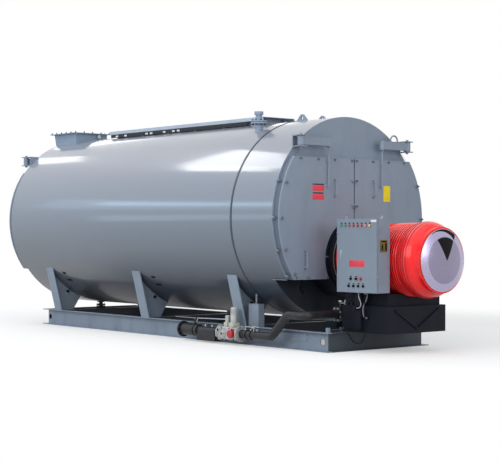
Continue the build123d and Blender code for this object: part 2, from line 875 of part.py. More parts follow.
def make_cabinet():
    """Control cabinet that faces left, with its door hinged on the front edge."""
    length = cabinet_front - cabinet_rear
    middle = front_y - (cabinet_front + cabinet_rear) / 2
    mid_z = cabinet_bottom_z + cabinet_height / 2
    case_x = cabinet_outer_x - cabinet_door_wall - door_gap
    hinge_y = front_y - cabinet_front - hinge_out
    hinge_x = -(cabinet_outer_x - cabinet_door_wall / 2)
    top_hinge = cabinet_bottom_z + cabinet_height - hinge_margin - hinge_length
    hinges = (cabinet_bottom_z + hinge_margin, top_hinge)
    half = hinge_length / 2
    block = cabinet_door_wall / 2 + door_gap
    with BuildPart() as case:
        with Locations((-(case_x + cabinet_inner_x) / 2, middle, mid_z)):
            Box(case_x - cabinet_inner_x, length, cabinet_height)
        offset(amount=-cabinet_wall, openings=case.faces().sort_by(Axis.X)[0])
        for z in hinges:
            with BuildSketch(Plane((hinge_x, hinge_y, z + half + fit_gap))):
                Circle(hinge_radius)
                Rectangle(hinge_reach, hinge_leaf, align=(Align.MIN, Align.CENTER))
                with Locations((block, 0)):
                    Rectangle(hinge_reach - block, hinge_out, align=(Align.MIN, Align.MIN))
            extrude(amount=half - fit_gap)
            with BuildSketch(Plane((hinge_x, hinge_y, z))):
                Circle(hinge_pin_radius)
            extrude(amount=hinge_length)
        with BuildSketch(Plane.XY.offset(cabinet_bottom_z)):
            for x, y, _ in (white_cable_route[0], flexible_route[0], loop_cable_route[0]):
                with Locations((x, y)):
                    Circle(gland_radius)
        extrude(amount=-gland_height)
    finish(case.part, "control_cabinet")

    with BuildPart() as door:
        with Locations((-(cabinet_outer_x - cabinet_door_wall / 2), middle, mid_z)):
            Box(cabinet_door_wall, length, cabinet_height)
        for z in hinges:
            with BuildSketch(Plane((hinge_x, hinge_y, z))):
                Circle(hinge_radius)
                Rectangle(hinge_leaf, 2 * hinge_out, align=(Align.CENTER, Align.MIN))
                Circle(hinge_pin_radius + pin_gap, mode=Mode.SUBTRACT)
            extrude(amount=half)
    finish(door.part, "control_cabinet_door")


def round_along(back, front, radius):
    """Round length of the gas train between two places along the boiler."""
    with BuildSketch(face_plane(front_y + back, gas_low_z)) as section:
        with Locations((-gas_x, 0)):
            Circle(radius)
    extrude(section.sketch, amount=back - front)


def make_gas_inlet():
    """Flanged ball valve and its lever, which turns to the left to close."""
    stem = (
        (gas_low_z, valve_stem_radius, lever_z - gas_low_z),
        (lever_z, valve_spigot_radius, 3 * lever_wall),
    )
    with BuildPart() as inlet:
        round_along(gas_inlet, gas_inlet - gas_flange_wall, gas_flange_radius)
        round_along(gas_inlet, filter_rear, valve_neck_radius)
        round_along(valve_body_rear, valve_body_front, valve_body_radius)
        round_along(filter_rear + valve_collar, filter_rear, valve_collar_radius)
        stack_rounds(-gas_x, front_y + valve_stem_back, stem)
        with BuildSketch(face_plane(front_y + gas_inlet, gas_low_z)):
            with Locations((-gas_x, 0)):
                Circle(gas_bore_radius)
        extrude(amount=gas_bore_depth, mode=Mode.SUBTRACT)
        with BuildSketch(face_plane(front_y + gas_inlet, gas_low_z)):
            with Locations((-gas_x, 0)):
                with PolarLocations(gas_bolt_circle / 2, gas_bolt_count, start_angle=180 / gas_bolt_count):
                    Circle(gas_bolt_radius)
        extrude(amount=gas_flange_wall, mode=Mode.SUBTRACT)
    finish(inlet.part, "gas_inlet_valve")

    with BuildPart() as lever:
        with BuildSketch(Plane((-gas_x, front_y + valve_stem_back, lever_z))):
            Circle(lever_hub_radius)
            Rectangle(lever_width, lever_length, align=(Align.CENTER, Align.MIN))
            with Locations((0, lever_length)):
                Circle(lever_width / 2)
            Circle(valve_spigot_radius + pin_gap, mode=Mode.SUBTRACT)
        extrude(amount=lever_wall)
    finish(lever.part, "gas_inlet_lever")


def make_gas_filter_and_block():
    """Filter with its hanging bowl, then the valve block with its actuators and cap."""
    with BuildPart() as strainer:
        round_along(filter_rear, block_rear + block_flange_wall, filter_neck_radius)
        with BuildSketch(face_plane(front_y + filter_rear - filter_neck, gas_low_z)):
            with Locations((-gas_x, 0)):
                Circle(filter_radius)
                Rectangle(2 * filter_radius, gas_low_z - filter_bottom_z, align=(Align.CENTER, Align.MAX))
        extrude(amount=filter_length)
    finish(strainer.part, "gas_filter")

    heads = ((actuator_back, actuator_radius, actuator_top_z), (switch_back, switch_radius, switch_top_z))
    with BuildPart() as block:
        round_along(block_rear + block_flange_wall, block_rear, gas_flange_radius)
        with BuildSketch(face_plane(front_y + block_rear, gas_low_z)):
            with Locations((-gas_x, 0)):
                RectangleRounded(2 * block_half, 2 * block_half, block_corner)
        extrude(amount=block_rear - block_front)
        round_along(block_front, block_front - block_flange_wall, gas_flange_radius)
        for back, radius, top in heads:
            levels = (
                (gas_low_z, actuator_neck_radius, top - gas_low_z),
                (actuator_foot_z, radius, top - actuator_foot_z),
            )
            stack_rounds(-gas_x, front_y + back, levels)
    finish(block.part, "gas_valve_block")

    with BuildPart() as cap:
        with BuildSketch(Plane(origin=(-gas_x - block_half, front_y + cap_back, gas_low_z), z_dir=(-1, 0, 0))):
            Circle(cap_radius)
        extrude(amount=cap_reach)
        chamfer(cap.faces().sort_by(Axis.X)[0].edges(), length=cap_radius / 6)
    finish(cap.part, "gas_regulator_cap")


def make_gas_pipe():
    """Pipe up to the burner, butterfly valve under it and the riser into the barrel."""
    low_y = front_y + block_front - block_flange_wall
    turn_y = front_y - gas_turn_front
    with BuildPart() as pipe:
        with BuildLine() as route:
            FilletPolyline(
                (-gas_x, low_y, gas_low_z),
                (-gas_x, front_y + bend_low, gas_low_z),
                (-gas_x, front_y + bend_high, gas_high_z),
                (-gas_x, turn_y, gas_high_z),
                (-butterfly_x, turn_y, gas_high_z),
                radius=gas_bend_radius,
            )
        with BuildSketch(Plane(route.line @ 0, z_dir=route.line % 0)):
            Circle(gas_pipe_radius)
        sweep()
    finish(pipe.part, "gas_pipe")

    valve_end = butterfly_x - butterfly_length
    flange_ends = (butterfly_x, valve_end + butterfly_flange_wall)
    with BuildPart() as butterfly:
        with BuildSketch(Plane(origin=(-butterfly_x, turn_y, gas_high_z), z_dir=(1, 0, 0))):
            Circle(butterfly_body_radius)
        extrude(amount=butterfly_length)
        for x in flange_ends:
            with BuildSketch(Plane(origin=(-x, turn_y, gas_high_z), z_dir=(1, 0, 0))):
                Circle(butterfly_flange_radius)
            extrude(amount=butterfly_flange_wall)
        with BuildSketch(Plane((-(butterfly_x + valve_end) / 2, turn_y, gas_high_z))):
            Circle(spindle_radius)
        extrude(amount=spindle_top_z - gas_high_z)
    finish(butterfly.part, "gas_butterfly_valve")

    with BuildPart() as riser:
        with BuildLine() as route:
            FilletPolyline(
                (-valve_end, turn_y, gas_high_z),
                (-riser_x, turn_y, gas_high_z),
                (-riser_x, turn_y, burner_axis_z),
                radius=gas_bend_radius,
            )
        with BuildSketch(Plane(route.line @ 0, z_dir=route.line % 0)):
            Circle(gas_pipe_radius)
        sweep()
        with BuildSketch(face_plane(turn_y, burner_axis_z)):
            Circle(first_rib_radius + fit_gap)
        extrude(amount=burner_reach, both=True, mode=Mode.SUBTRACT)
    finish(riser.part, "burner_gas_riser")


def make_flue_outlet():
    """Duct on the crown near the rear, its rear wall leaning back, with a flat flange."""
    front_wall_y = rear_y - flue_front_back
    foot_z = shell_rise(flue_width / 2 - flue_x) - flue_sink
    top_z = crown_z + flue_rise

    def level(z, inset, reach):
        with BuildSketch(Plane((flue_x, front_wall_y + inset, z))) as outline:
            Rectangle(flue_width - 2 * inset, reach - 2 * inset, align=(Align.CENTER, Align.MIN))
        return outline.sketch.face()

    top_reach = flue_front_back + flue_lean
    with BuildPart() as flue:
        loft([level(foot_z, 0.0, flue_front_back), level(top_z, 0.0, top_reach)])
        extrude(level(top_z, -flue_flange, top_reach), amount=-flue_wall)
        loft(
            [level(foot_z, flue_wall, flue_front_back), level(top_z, flue_wall, top_reach)],
            mode=Mode.SUBTRACT,
        )
        cut_to_shell()
    finish(flue.part, "flue_outlet")


def make_walkway():
    """Deck along the crown with side channels, on bearers and saddles cut to the cladding."""
    length = shell_length - walkway_rear_back - walkway_front
    middle = front_y + walkway_front + length / 2
    top_z = crown_z + walkway_rise
    low_z = shell_rise(walkway_half_width)
    pitch = (length - 2 * walkway_end_margin) / (walkway_saddles - 1)
    on_top = (Align.CENTER, Align.CENTER, Align.MAX)
    with BuildPart() as walkway:
        with Locations((0, middle, top_z)):
            Box(2 * walkway_half_width, length, walkway_deck, align=on_top)
        for side in (-1, 1):
            with Locations((side * (walkway_half_width - walkway_side_wall / 2), middle, top_z)):
                Box(walkway_side_wall, length, walkway_side, align=on_top)
            with Locations((side * walkway_bearer_x, middle, top_z)):
                Box(walkway_side_wall, length - walkway_end_margin, top_z - low_z, align=on_top)
        for index in range(walkway_saddles):
            y = front_y + walkway_front + walkway_end_margin + index * pitch
            with Locations((0, y, top_z)):
                Box(2 * walkway_half_width - walkway_side_wall, walkway_side_wall, top_z - low_z, align=on_top)
        cut_to_shell()
    finish(walkway.part, "top_walkway")


def make_shoulder_nozzle():
    """Flanged nozzle on the left shoulder with a vent valve screwed on it."""
    foot_z = shell_rise(shoulder_x)
    flange_z = foot_z + shoulder_flange_rise
    pair_z = flange_z + shoulder_flange_wall + shoulder_gasket
    top_z = foot_z + shoulder_height
    levels = (
        (shell_axis_z, shoulder_neck_radius, pair_z - shell_axis_z),
        (flange_z, shoulder_flange_radius, shoulder_flange_wall),
        (pair_z, shoulder_flange_radius, shoulder_flange_wall),
        (pair_z, shoulder_stub_radius, top_z - pair_z),
        (top_z - shoulder_cap_height, shoulder_cap_radius, shoulder_cap_height),
    )
    with BuildPart() as shoulder:
        stack_rounds(-shoulder_x, front_y + shoulder_station, levels)
        cut_to_shell()
    finish(shoulder.part, "shoulder_nozzle")


def make_fittings():
    """Lifting lugs on the crown and the blowdown nozzle under the shell."""
    eye_z = crown_z + lug_rise - lug_radius
    for name, side in (("left", -1), ("right", 1)):
        with BuildPart() as lug:
            plane = Plane(origin=(side * lug_x, front_y + lug_station, 0), x_dir=(0, 1, 0), z_dir=(1, 0, 0))
            with BuildSketch(plane):
                with Locations((0, eye_z)):
                    Circle(lug_radius)
                with Locations((0, shell_rise(lug_x + lug_wall))):
                    Rectangle(2 * lug_foot_half, lug_wall)
                make_hull()
                with Locations((0, eye_z)):
                    Circle(lug_hole_radius, mode=Mode.SUBTRACT)
            extrude(amount=lug_wall / 2, both=True)
            cut_to_shell()
        finish(lug.part, f"{name}_lifting_lug")

    pad_z = shell_bottom_z - blowdown_pad
    levels = (
        (pad_z, blowdown_pad_radius, 2 * blowdown_pad),
        (blowdown_flange_z, blowdown_neck_radius, shell_bottom_z - blowdown_flange_z),
        (blowdown_flange_z, blowdown_flange_radius, blowdown_flange_wall),
        (blowdown_flange_z + 1.5 * blowdown_flange_wall, blowdown_flange_radius, blowdown_flange_wall),
        (blowdown_bottom_z, blowdown_pipe_radius, blowdown_flange_z - blowdown_bottom_z),
    )
    with BuildPart() as blowdown:
        stack_rounds(0, rear_y - blowdown_back, levels)
        cut_to_shell()
    finish(blowdown.part, "blowdown_nozzle")


def make_junction_box():
    """Wiring box on the left beam with the conduit that rises to the cladding."""
    middle = front_y + (junction_front + junction_rear) / 2
    conduit_x = -(skid_half_width - junction_depth / 2)
    top_z = beam_height + junction_height
    with BuildPart() as box:
        with Locations((-skid_half_width, middle, beam_height)):
            Box(
                junction_depth,
                junction_rear - junction_front,
                junction_height,
                align=(Align.MIN, Align.CENTER, Align.MIN),
            )
        with BuildSketch(Plane((conduit_x, middle, top_z))):
            Circle(conduit_radius)
        extrude(amount=shell_drop(conduit_x) - top_z + 2 * conduit_radius)
        cut_to_shell(strap_wall + 2 * fit_gap)
    finish(box.part, "junction_box")


def cable(name, radius, route):
    """Cable of straight runs joined by the largest arcs that they leave room for."""
    points = [Vector(*point) for point in route]
    bends = []
    for before, corner, after in zip(points, points[1:], points[2:]):
        arriving, leaving = corner - before, after - corner
        half_turn = radians(arriving.get_angle(leaving)) / 2
        bends.append(0.45 * min(arriving.length, leaving.length) / tan(half_turn))
    print(name, "bend radii", [round(bend) for bend in bends])
    with BuildPart() as tube:
        with BuildLine() as line:
            FilletPolyline(*points, radius=bends)
        with BuildSketch(Plane(line.line @ 0, z_dir=line.line % 0)):
            Circle(radius)
        sweep()
    finish(tube.part, name)


def make_cables():
    """White cable to the post, flexible conduit to the base and loop to the skid."""
    cable("cabinet_white_cable", white_cable_radius, white_cable_route)
    cable("cabinet_flexible_conduit", flexible_radius, flexible_route)
    cable("cabinet_loop_cable", loop_cable_radius, loop_cable_route)


make_skid()
make_legs()
make_cladding()
make_ends()
make_doors()
make_burner()
make_burner_base()
make_cabinet()
make_gas_inlet()
make_gas_filter_and_block()
make_gas_pipe()
make_flue_outlet()
make_walkway()
make_shoulder_nozzle()
make_fittings()
make_junction_box()
make_cables()
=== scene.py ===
"""Looks of the packaged steam boiler: finishes of every CAD node, fasteners, fittings and lamps."""

from contextlib import contextmanager
from math import atan2, cos, degrees, pi, radians, sin, sqrt

import bmesh
import bpy
from mathutils import Matrix, Quaternion, Vector


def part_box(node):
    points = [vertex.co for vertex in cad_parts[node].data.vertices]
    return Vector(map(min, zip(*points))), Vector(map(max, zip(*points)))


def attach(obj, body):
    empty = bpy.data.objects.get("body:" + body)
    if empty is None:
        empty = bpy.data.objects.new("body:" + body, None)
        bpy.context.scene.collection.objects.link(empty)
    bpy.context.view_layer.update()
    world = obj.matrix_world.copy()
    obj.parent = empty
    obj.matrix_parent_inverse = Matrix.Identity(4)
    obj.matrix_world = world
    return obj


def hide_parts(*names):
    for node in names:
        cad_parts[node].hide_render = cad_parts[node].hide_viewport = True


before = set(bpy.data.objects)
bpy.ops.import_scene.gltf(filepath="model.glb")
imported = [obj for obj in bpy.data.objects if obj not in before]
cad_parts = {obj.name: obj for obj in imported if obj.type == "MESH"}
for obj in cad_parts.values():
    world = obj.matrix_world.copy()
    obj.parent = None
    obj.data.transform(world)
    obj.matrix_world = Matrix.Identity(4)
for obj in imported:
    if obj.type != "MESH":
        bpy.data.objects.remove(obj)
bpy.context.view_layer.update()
scene = bpy.context.scene


# Places that the CAD nodes give, in metres

door_depth = 0.107
front_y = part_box("front_end_plate")[0].y
rear_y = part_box("rear_end_plate")[1].y
door_face = front_y - door_depth
rear_door_face = rear_y + door_depth
shell_low, shell_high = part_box("shell_cladding")
shell_radius = (shell_high.x - shell_low.x) / 2
axis_z = (shell_high.z + shell_low.z) / 2
door_low, door_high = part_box("front_left_door")
cabinet_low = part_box("control_cabinet_door")[0]
dome_low, dome_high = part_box("burner_dished_cover")
burner_z = (dome_low.z + dome_high.z) / 2

# Place of the first rib that is added to the barrel, ahead of the front end plate, and their pitch
first_rib = 0.985
rib_pitch = 0.040


def along(y):
    """Place along the boiler, measured to the rear from the front end plate."""
    return front_y + y


# Camera at the photograph's place

def add_camera():
    """Camera fitted to the outlines of the shell, the doors and the skid."""
    heading = radians(40.034)
    pitch = radians(-0.326)
    roll = radians(0.135)
    forward = Vector((sin(heading) * cos(pitch), cos(heading) * cos(pitch), sin(pitch)))
    level = Vector((cos(heading), -sin(heading), 0.0))
    upward = level.cross(forward)
    right = level * cos(roll) + upward * sin(roll)
    top = upward * cos(roll) - level * sin(roll)
    data = bpy.data.cameras.new("photo_camera")
    data.lens = 95.21
    data.shift_x = -0.0008
    data.shift_y = 0.0182
    data.clip_end = 200.0
    camera = bpy.data.objects.new("photo_camera", data)
    turn = Matrix((right, top, -forward)).transposed().to_4x4()
    camera.matrix_world = Matrix.Translation((-12.377, -15.2035, 1.507)) @ turn
    scene.collection.objects.link(camera)
    scene.camera = camera


add_camera()


# Cables under the cabinet, along the routes in part.py

def add_cable(name, node, diameter, route):
    """Cable on one smooth curve in place of its CAD solid. Points are x, place ahead of the front, z."""
    curve = bpy.data.curves.new(name, "CURVE")
    curve.dimensions = "3D"
    curve.bevel_depth = 1.0
    curve.bevel_resolution = 3
    curve.use_fill_caps = True
    spline = curve.splines.new("NURBS")
    spline.points.add(len(route) - 1)
    for point, (x, ahead, z) in zip(spline.points, route):
        point.co = (x, along(-ahead), z, 1.0)
        point.radius = diameter / 2
    spline.order_u = 3
    spline.use_endpoint_u = True
    spline.resolution_u = 10
    cable = bpy.data.objects.new(name, curve)
    scene.collection.objects.link(cable)
    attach(cable, "boiler")
    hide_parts(node)
    x, ahead, z = route[0]
    return cable


white_cable = add_cable(
    "white_control_cable", "cabinet_white_cable", 0.010,
    [
        (-0.650, 0.853, 0.746), (-0.650, 0.853, 0.702), (-0.646, 0.879, 0.657), (-0.640, 0.886, 0.612),
        (-0.634, 0.864, 0.578), (-0.632, 0.828, 0.565), (-0.632, 0.800, 0.565),
    ],
)
flexible_conduit = add_cable(
    "flexible_conduit", "cabinet_flexible_conduit", 0.018,
    [
        (-0.650, 1.002, 0.746), (-0.650, 1.002, 0.694), (-0.643, 0.962, 0.642), (-0.631, 0.920, 0.590),
        (-0.618, 0.896, 0.540), (-0.611, 0.896, 0.497), (-0.599, 0.899, 0.462), (-0.580, 0.905, 0.440),
        (-0.555, 0.905, 0.440),
    ],
)
loop_cable = add_cable(
    "loop_cable", "cabinet_loop_cable", 0.014,
    [
        (-0.684, 1.000, 0.746), (-0.684, 1.000, 0.640), (-0.686, 0.989, 0.530), (-0.681, 1.000, 0.420),
        (-0.677, 1.006, 0.320), (-0.674, 0.990, 0.225), (-0.671, 0.940, 0.152), (-0.668, 0.868, 0.120),
        (-0.664, 0.790, 0.132), (-0.657, 0.718, 0.186), (-0.650, 0.662, 0.246), (-0.642, 0.606, 0.280),
        (-0.642, 0.560, 0.280),
    ],
)


# Finishes

def display(red, green, blue):
    """Linear colour of a display colour from 0 to 255."""
    def linear(level):
        share = level / 255
        return share / 12.92 if share < 0.04045 else ((share + 0.055) / 1.055) ** 2.4
    return (linear(red), linear(green), linear(blue), 1.0)


def add_node(tree, kind, sockets, **settings):
    """Node with its settings, then the values or links of its sockets."""
    made = tree.nodes.new(kind)
    for key, value in settings.items():
        setattr(made, key, value)
    for key, value in sockets.items():
        if isinstance(key, str):
            key = key.replace("_", " ")
        if isinstance(value, Field):
            value = value.socket
        if isinstance(value, bpy.types.NodeSocket):
            tree.links.new(value, made.inputs[key])
        else:
            made.inputs[key].default_value = value
    return made


def empty_tree(owner):
    """Node tree of a material or of the world, with nothing in it."""
    owner.use_nodes = True
    owner.node_tree.nodes.clear()
    return owner.node_tree


class Field:
    """A number that varies over a surface. Arithmetic on it adds Math nodes."""

    def __init__(self, finish, socket):
        self.finish = finish
        self.socket = socket

    def join(self, operation, first, second=0.0):
        return self.finish.field("ShaderNodeMath", {0: first, 1: second}, operation=operation)

    def __add__(self, other):
        return self.join("ADD", self, other)

    def __sub__(self, other):
        return self.join("SUBTRACT", self, other)

    def __rsub__(self, other):
        return self.join("SUBTRACT", other, self)

    def __mul__(self, other):
        return self.join("MULTIPLY", self, other)

    def __truediv__(self, other):
        return self.join("DIVIDE", self, other)

    __radd__ = __add__
    __rmul__ = __mul__

    def wrapped(self):
        return self.join("FRACT", self)

    def size(self):
        return self.join("ABSOLUTE", self)

    def root(self):
        return self.join("SQRT", self)

    def wave(self):
        return self.join("SINE", self)

    def below(self, limit):
        return self.join("LESS_THAN", self, limit)

    def between(self, low, high):
        """0 at low, 1 at high, held outside them."""
        sockets = {"Value": self, "From Min": low, "From Max": high}
        return self.finish.field("ShaderNodeMapRange", sockets, clamp=True)


class Finish:
    """A material on the Principled shader, with a few helpers for its patterns."""

    def __init__(self, name, **plain):
        self.material = bpy.data.materials.new(name)
        self.tree = empty_tree(self.material)
        self.shader = self.node("ShaderNodeBsdfPrincipled", plain)
        self.node("ShaderNodeOutputMaterial", {"Surface": self.shader.outputs[0]})
        self.here = self.node("ShaderNodeTexCoord", {}).outputs["Object"]
        axes = self.node("ShaderNodeSeparateXYZ", {0: self.here}).outputs
        self.x, self.y, self.z = [Field(self, axis) for axis in axes]

    def node(self, kind, sockets, **settings):
        return add_node(self.tree, kind, sockets, **settings)

    def field(self, kind, sockets, **settings):
        """The number that a new node gives."""
        return Field(self, self.node(kind, sockets, **settings).outputs[0])

    def noise(self, scale, detail=3.0, stretch=(1.0, 1.0, 1.0)):
        place = self.node("ShaderNodeMapping", {"Vector": self.here, "Scale": stretch}).outputs[0]
        return self.field("ShaderNodeTexNoise", {"Vector": place, "Scale": scale, "Detail": detail})

    def cells(self, scale):
        return self.field("ShaderNodeTexVoronoi", {"Vector": self.here, "Scale": scale})

    def blend(self, share, low, high):
        """Colour that goes from low to high with a share."""
        return self.node("ShaderNodeMix", {0: share, 6: low, 7: high}, data_type="RGBA").outputs[2]

    def colour(self, value):
        self.tree.links.new(value, self.shader.inputs["Base Color"])

    def rough(self, value):
        self.tree.links.new(value.socket, self.shader.inputs["Roughness"])

    def coat(self, value):
        self.tree.links.new(value.socket, self.shader.inputs["Coat Weight"])

    def bump(self, height, distance, strength=1.0):
        sockets = {"Height": height, "Distance": distance, "Strength": strength}
        made = self.node("ShaderNodeBump", sockets)
        self.tree.links.new(made.outputs[0], self.shader.inputs["Normal"])


def shade(colour, share):
    """A colour made darker or lighter by a share."""
    return tuple(min(1.0, level * share) for level in colour[:3]) + (1.0,)


def paint(name, colour, roughness=0.45, coat=0.08, peel=0.0005, grime=0.75, gloss=0.3, painted_shade_inside=1.0):
    """Sprayed paint: clouds of tone, dust in patches, orange peel, and painted shade between the beams if
    asked.
    """
    look = Finish(name, Coat_Weight=coat, Coat_Roughness=0.16, IOR=1.5, Specular_IOR_Level=gloss)
    cloud = look.noise(0.7, 3.0)
    dust = look.noise(5.0, 7.0, (1.0, 1.0, 0.35)).between(0.48, 0.72)
    base = look.blend(cloud.between(0.35, 0.65), shade(colour, 0.94), shade(colour, 1.06))
    low_dirt = (1.0 - look.z.between(0.02, 0.5)) * dust
    stain = (dust * 0.25 + low_dirt * 0.45).between(0.0, 1.0)
    tone = look.blend(stain, base, shade(colour, grime))
    # Painted shade: where |x| is under 0.857, between the skid beams and under the boiler, the colour is
    # darkened by the given share.
    if painted_shade_inside < 1.0:
        tone = look.blend(look.x.size().between(0.857, 0.865), shade(colour, painted_shade_inside), tone)
    look.colour(tone)
    look.rough(dust * 0.14 + roughness)
    look.bump(look.noise(160.0, 2.0), peel, 0.35)
    return look.material


def ribbed_red():
    """Glossy red barrel and ring: painted highlight on the upper crests of the ribs and painted shade in the
    grooves.
    """
    colour = display(252, 24, 30)
    look = Finish("burner_red_ribs", Coat_Weight=0.35, Coat_Roughness=0.12, IOR=1.5, Specular_IOR_Level=0.3)
    phase = ((along(rib_pitch / 2 - first_rib) - look.y) / rib_pitch).wrapped()
    behind = look.y.between(along(-0.97), along(-0.96))
    ribbed = look.y.between(along(-1.53), along(-1.47)) * (1.0 - behind)
    off_crest = (phase - 0.5).size()
    # Painted shade in the grooves; the same mask also roughens them and shapes the bump.
    groove = off_crest.between(0.20, 0.34) * ribbed
    # Painted highlight: a pale glint on the crests near the top of the barrel.
    painted_crest_glint = (1.0 - off_crest.between(0.08, 0.18)) * ribbed * look.z.between(1.42, 1.60)
    cloud = look.noise(3.0, 4.0)
    base = look.blend(cloud, shade(colour, 0.92), shade(colour, 1.04))
    groove_painted_shade = look.blend(groove, base, shade(colour, 0.45))
    look.colour(look.blend(painted_crest_glint * 0.75, groove_painted_shade, display(255, 176, 168)))
    look.rough(groove * 0.2 + 0.28)
    look.bump(1.0 - groove, 0.009, 0.8)
    return look.material


def clad_paint():
    """Smooth sheet with a deep gloss and dust in patches high up, with painted light towards the crown and
    painted shade low on the shell.
    """
    look = Finish(
        "cladding_gloss", Coat_Weight=0.8, Coat_Roughness=0.11, Coat_IOR=1.75, Specular_IOR_Level=0.2, IOR=1.5
    )
    cloud = look.noise(0.45, 3.0)
    dust = look.noise(3.0, 6.0, (1.0, 0.4, 1.0)).between(0.5, 0.75)
    # Painted light and shade by height: darker low on the flanks, lighter towards the crown.
    flank = look.blend(look.z.between(1.5, 2.7), display(112, 130, 148), display(136, 141, 154))
    rear = look.y.between(0.9, 2.4)
    # Painted shade low on the shell: dark, and less so towards the rear end.
    painted_shade_belly = look.blend(rear, display(46, 50, 61), display(76, 75, 82))
    sheet = look.blend(look.z.between(0.55, 1.95), painted_shade_belly, flank)
    base = look.blend(cloud.between(0.35, 0.65), sheet, display(118, 132, 148))
    look.colour(look.blend((dust * 0.12 + cloud * 0.2) * look.z.between(0.7, 1.7), sheet, base))
    look.rough(dust * 0.08 + 0.34)
    dull = (1.0 - look.z.between(0.80, 1.25)) * (1.0 - rear)
    look.coat(look.z.between(0.70, 1.55) * 0.35 + 0.45 - dull * 0.38)
    look.bump(look.noise(0.8, 1.0, (1.0, 0.3, 1.0)), 0.004, 0.12)
    return look.material


def brushed(name, colour, roughness, grain=(1.0, 40.0, 1.0)):
    """Bright metal with drawn lines."""
    look = Finish(name, Metallic=1.0, Coat_Weight=0.1)
    lines = look.noise(60.0, 4.0, grain)
    cloud = look.noise(4.0, 3.0)
    look.colour(look.blend(cloud, shade(colour, 0.88), shade(colour, 1.08)))
    look.rough(lines * 0.16 + roughness)
    look.bump(lines, 0.0004, 0.3)
    return look.material


def spun_cover():
    """Polished dish with turned rings round the burner axis, and a painted highlight on the band near its
    edge.
    """
    colour = display(150, 144, 170)
    look = Finish("burner_cover_metal", Metallic=1.0, Coat_Weight=0.3, Coat_Roughness=0.08)
    upright = look.z - burner_z
    radius = (look.x * look.x + upright * upright).root()
    rings = (radius * 320.0).wave()
    cloud = look.noise(5.0, 3.0)
    # Painted highlight: the band near the edge is much lighter than the middle of the dish.
    outer = radius.between(0.290, 0.298)
    look.colour(look.blend(outer, shade(colour, 0.86), shade(colour, 1.35)))
    look.rough(rings * 0.03 + cloud * 0.08 + 0.22)
    look.bump(rings, 0.0002, 0.15)
    return look.material


def cast(name, colour, metallic, roughness, grain=0.0012, gloss=0.3):
    """Cast surface: sandy grain and darker hollows."""
    look = Finish(name, Metallic=metallic, Coat_Weight=0.05, Specular_IOR_Level=gloss)
    sand = look.noise(220.0, 4.0)
    patch = look.noise(11.0, 6.0)
    look.colour(look.blend(patch.between(0.35, 0.7), shade(colour, 0.7), shade(colour, 1.15)))
    look.rough(sand * 0.15 + roughness)
    look.bump(sand, grain, 0.5)
    return look.material


def wrinkle_paint(name, colour):
    """Powder coat with a fine texture, as on control cabinets."""
    look = Finish(name, Coat_Weight=0.1, Coat_Roughness=0.3, Specular_IOR_Level=0.3)
    grain = look.cells(420.0)
    cloud = look.noise(1.5, 3.0)
    look.colour(look.blend(cloud.between(0.3, 0.7), shade(colour, 0.95), shade(colour, 1.05)))
    look.rough(grain * 0.12 + 0.42)
    look.bump(grain, 0.0005, 0.4)
    return look.material


def plain(name, colour, roughness=0.4, metallic=0.0, coat=0.2, glow=0.0, gloss=0.4):
    """Small moulded or plated thing: slight speckle only."""
    look = Finish(name, Metallic=metallic, Coat_Weight=coat, Specular_IOR_Level=gloss)
    speckle = look.noise(90.0, 4.0)
    look.colour(look.blend(speckle, shade(colour, 0.88), shade(colour, 1.06)))
    look.rough(speckle * 0.12 + roughness)
    if glow:
        look.shader.inputs["Emission Color"].default_value = colour
        look.shader.inputs["Emission Strength"].default_value = glow
    return look.material


def tread_deck():
    """Walkway paint over raised tread lozenges."""
    colour = display(172, 186, 202)
    look = Finish("walkway_tread", Coat_Weight=0.1)
    one = ((look.x * 16.0 + look.y * 16.0).wrapped() - 0.5).size().below(0.12)
    way = ((look.x * 16.0 - look.y * 16.0).wrapped() - 0.5).size().below(0.30)
    dust = look.noise(6.0, 6.0).between(0.4, 0.7)
    look.colour(look.blend(dust * 0.5, colour, shade(colour, 0.75)))
    look.rough(dust * 0.15 + 0.45)
    look.bump(one * way, 0.003, 0.8)
    return look.material


def tube_wall():
    """Painted plate round the tube ends, its grey darkened as painted shade of the recess, sooty towards the
    top.
    """
    # Painted shade: the grey paint as it looks in the shade of the recess.
    colour = display(44, 50, 60)
    look = Finish("tube_plate_paint", Specular_IOR_Level=0.2)
    patch = look.noise(7.0, 8.0).between(0.42, 0.66)
    soot = look.z.between(1.2, 2.6)
    base = look.blend(patch * 0.5, colour, display(48, 50, 56))
    look.colour(look.blend(soot * 0.5, base, display(30, 29, 30)))
    look.rough(patch * 0.2 + 0.6)
    look.bump(look.noise(50.0, 6.0), 0.002, 0.5)
    return look.material


skid_grey = paint("skid_grey", display(138, 152, 168))
# The beams' paint is made very dark between them, as painted shade.
beam_grey = paint("beam_grey", display(134, 148, 165), painted_shade_inside=0.22)
# Painted shade: the smokebox frames take a darker copy of the doors' grey paint.
frame_grey_painted_shade = paint("frame_grey_painted_shade", display(96, 107, 122))
door_grey = paint("door_grey", display(132, 145, 161), roughness=0.42)
flue_grey = paint("flue_grey", display(132, 150, 170))
cladding_gloss = clad_paint()
strap_metal = brushed("strap_metal", display(84, 90, 98), 0.42, (40.0, 1.0, 40.0))
barrel_red = ribbed_red()
cover_metal = spun_cover()
base_black = paint("base_black", display(22, 24, 34), roughness=0.5, coat=0.0, grime=1.3, gloss=0.12)
cabinet_grey = wrinkle_paint("cabinet_grey", display(128, 141, 156))
pipe_black = cast("pipe_black", display(32, 33, 38), 0.0, 0.36, gloss=0.35)
alloy = cast("cast_alloy", display(184, 187, 187), 0.3, 0.42)
cap_red = plain("cap_red", display(190, 24, 36), 0.3, coat=0.3)
lever_steel = brushed("lever_steel", display(150, 154, 158), 0.34, (1.0, 1.0, 1.0))
bright_steel = brushed("bright_steel", display(176, 180, 186), 0.30, (1.0, 1.0, 1.0))
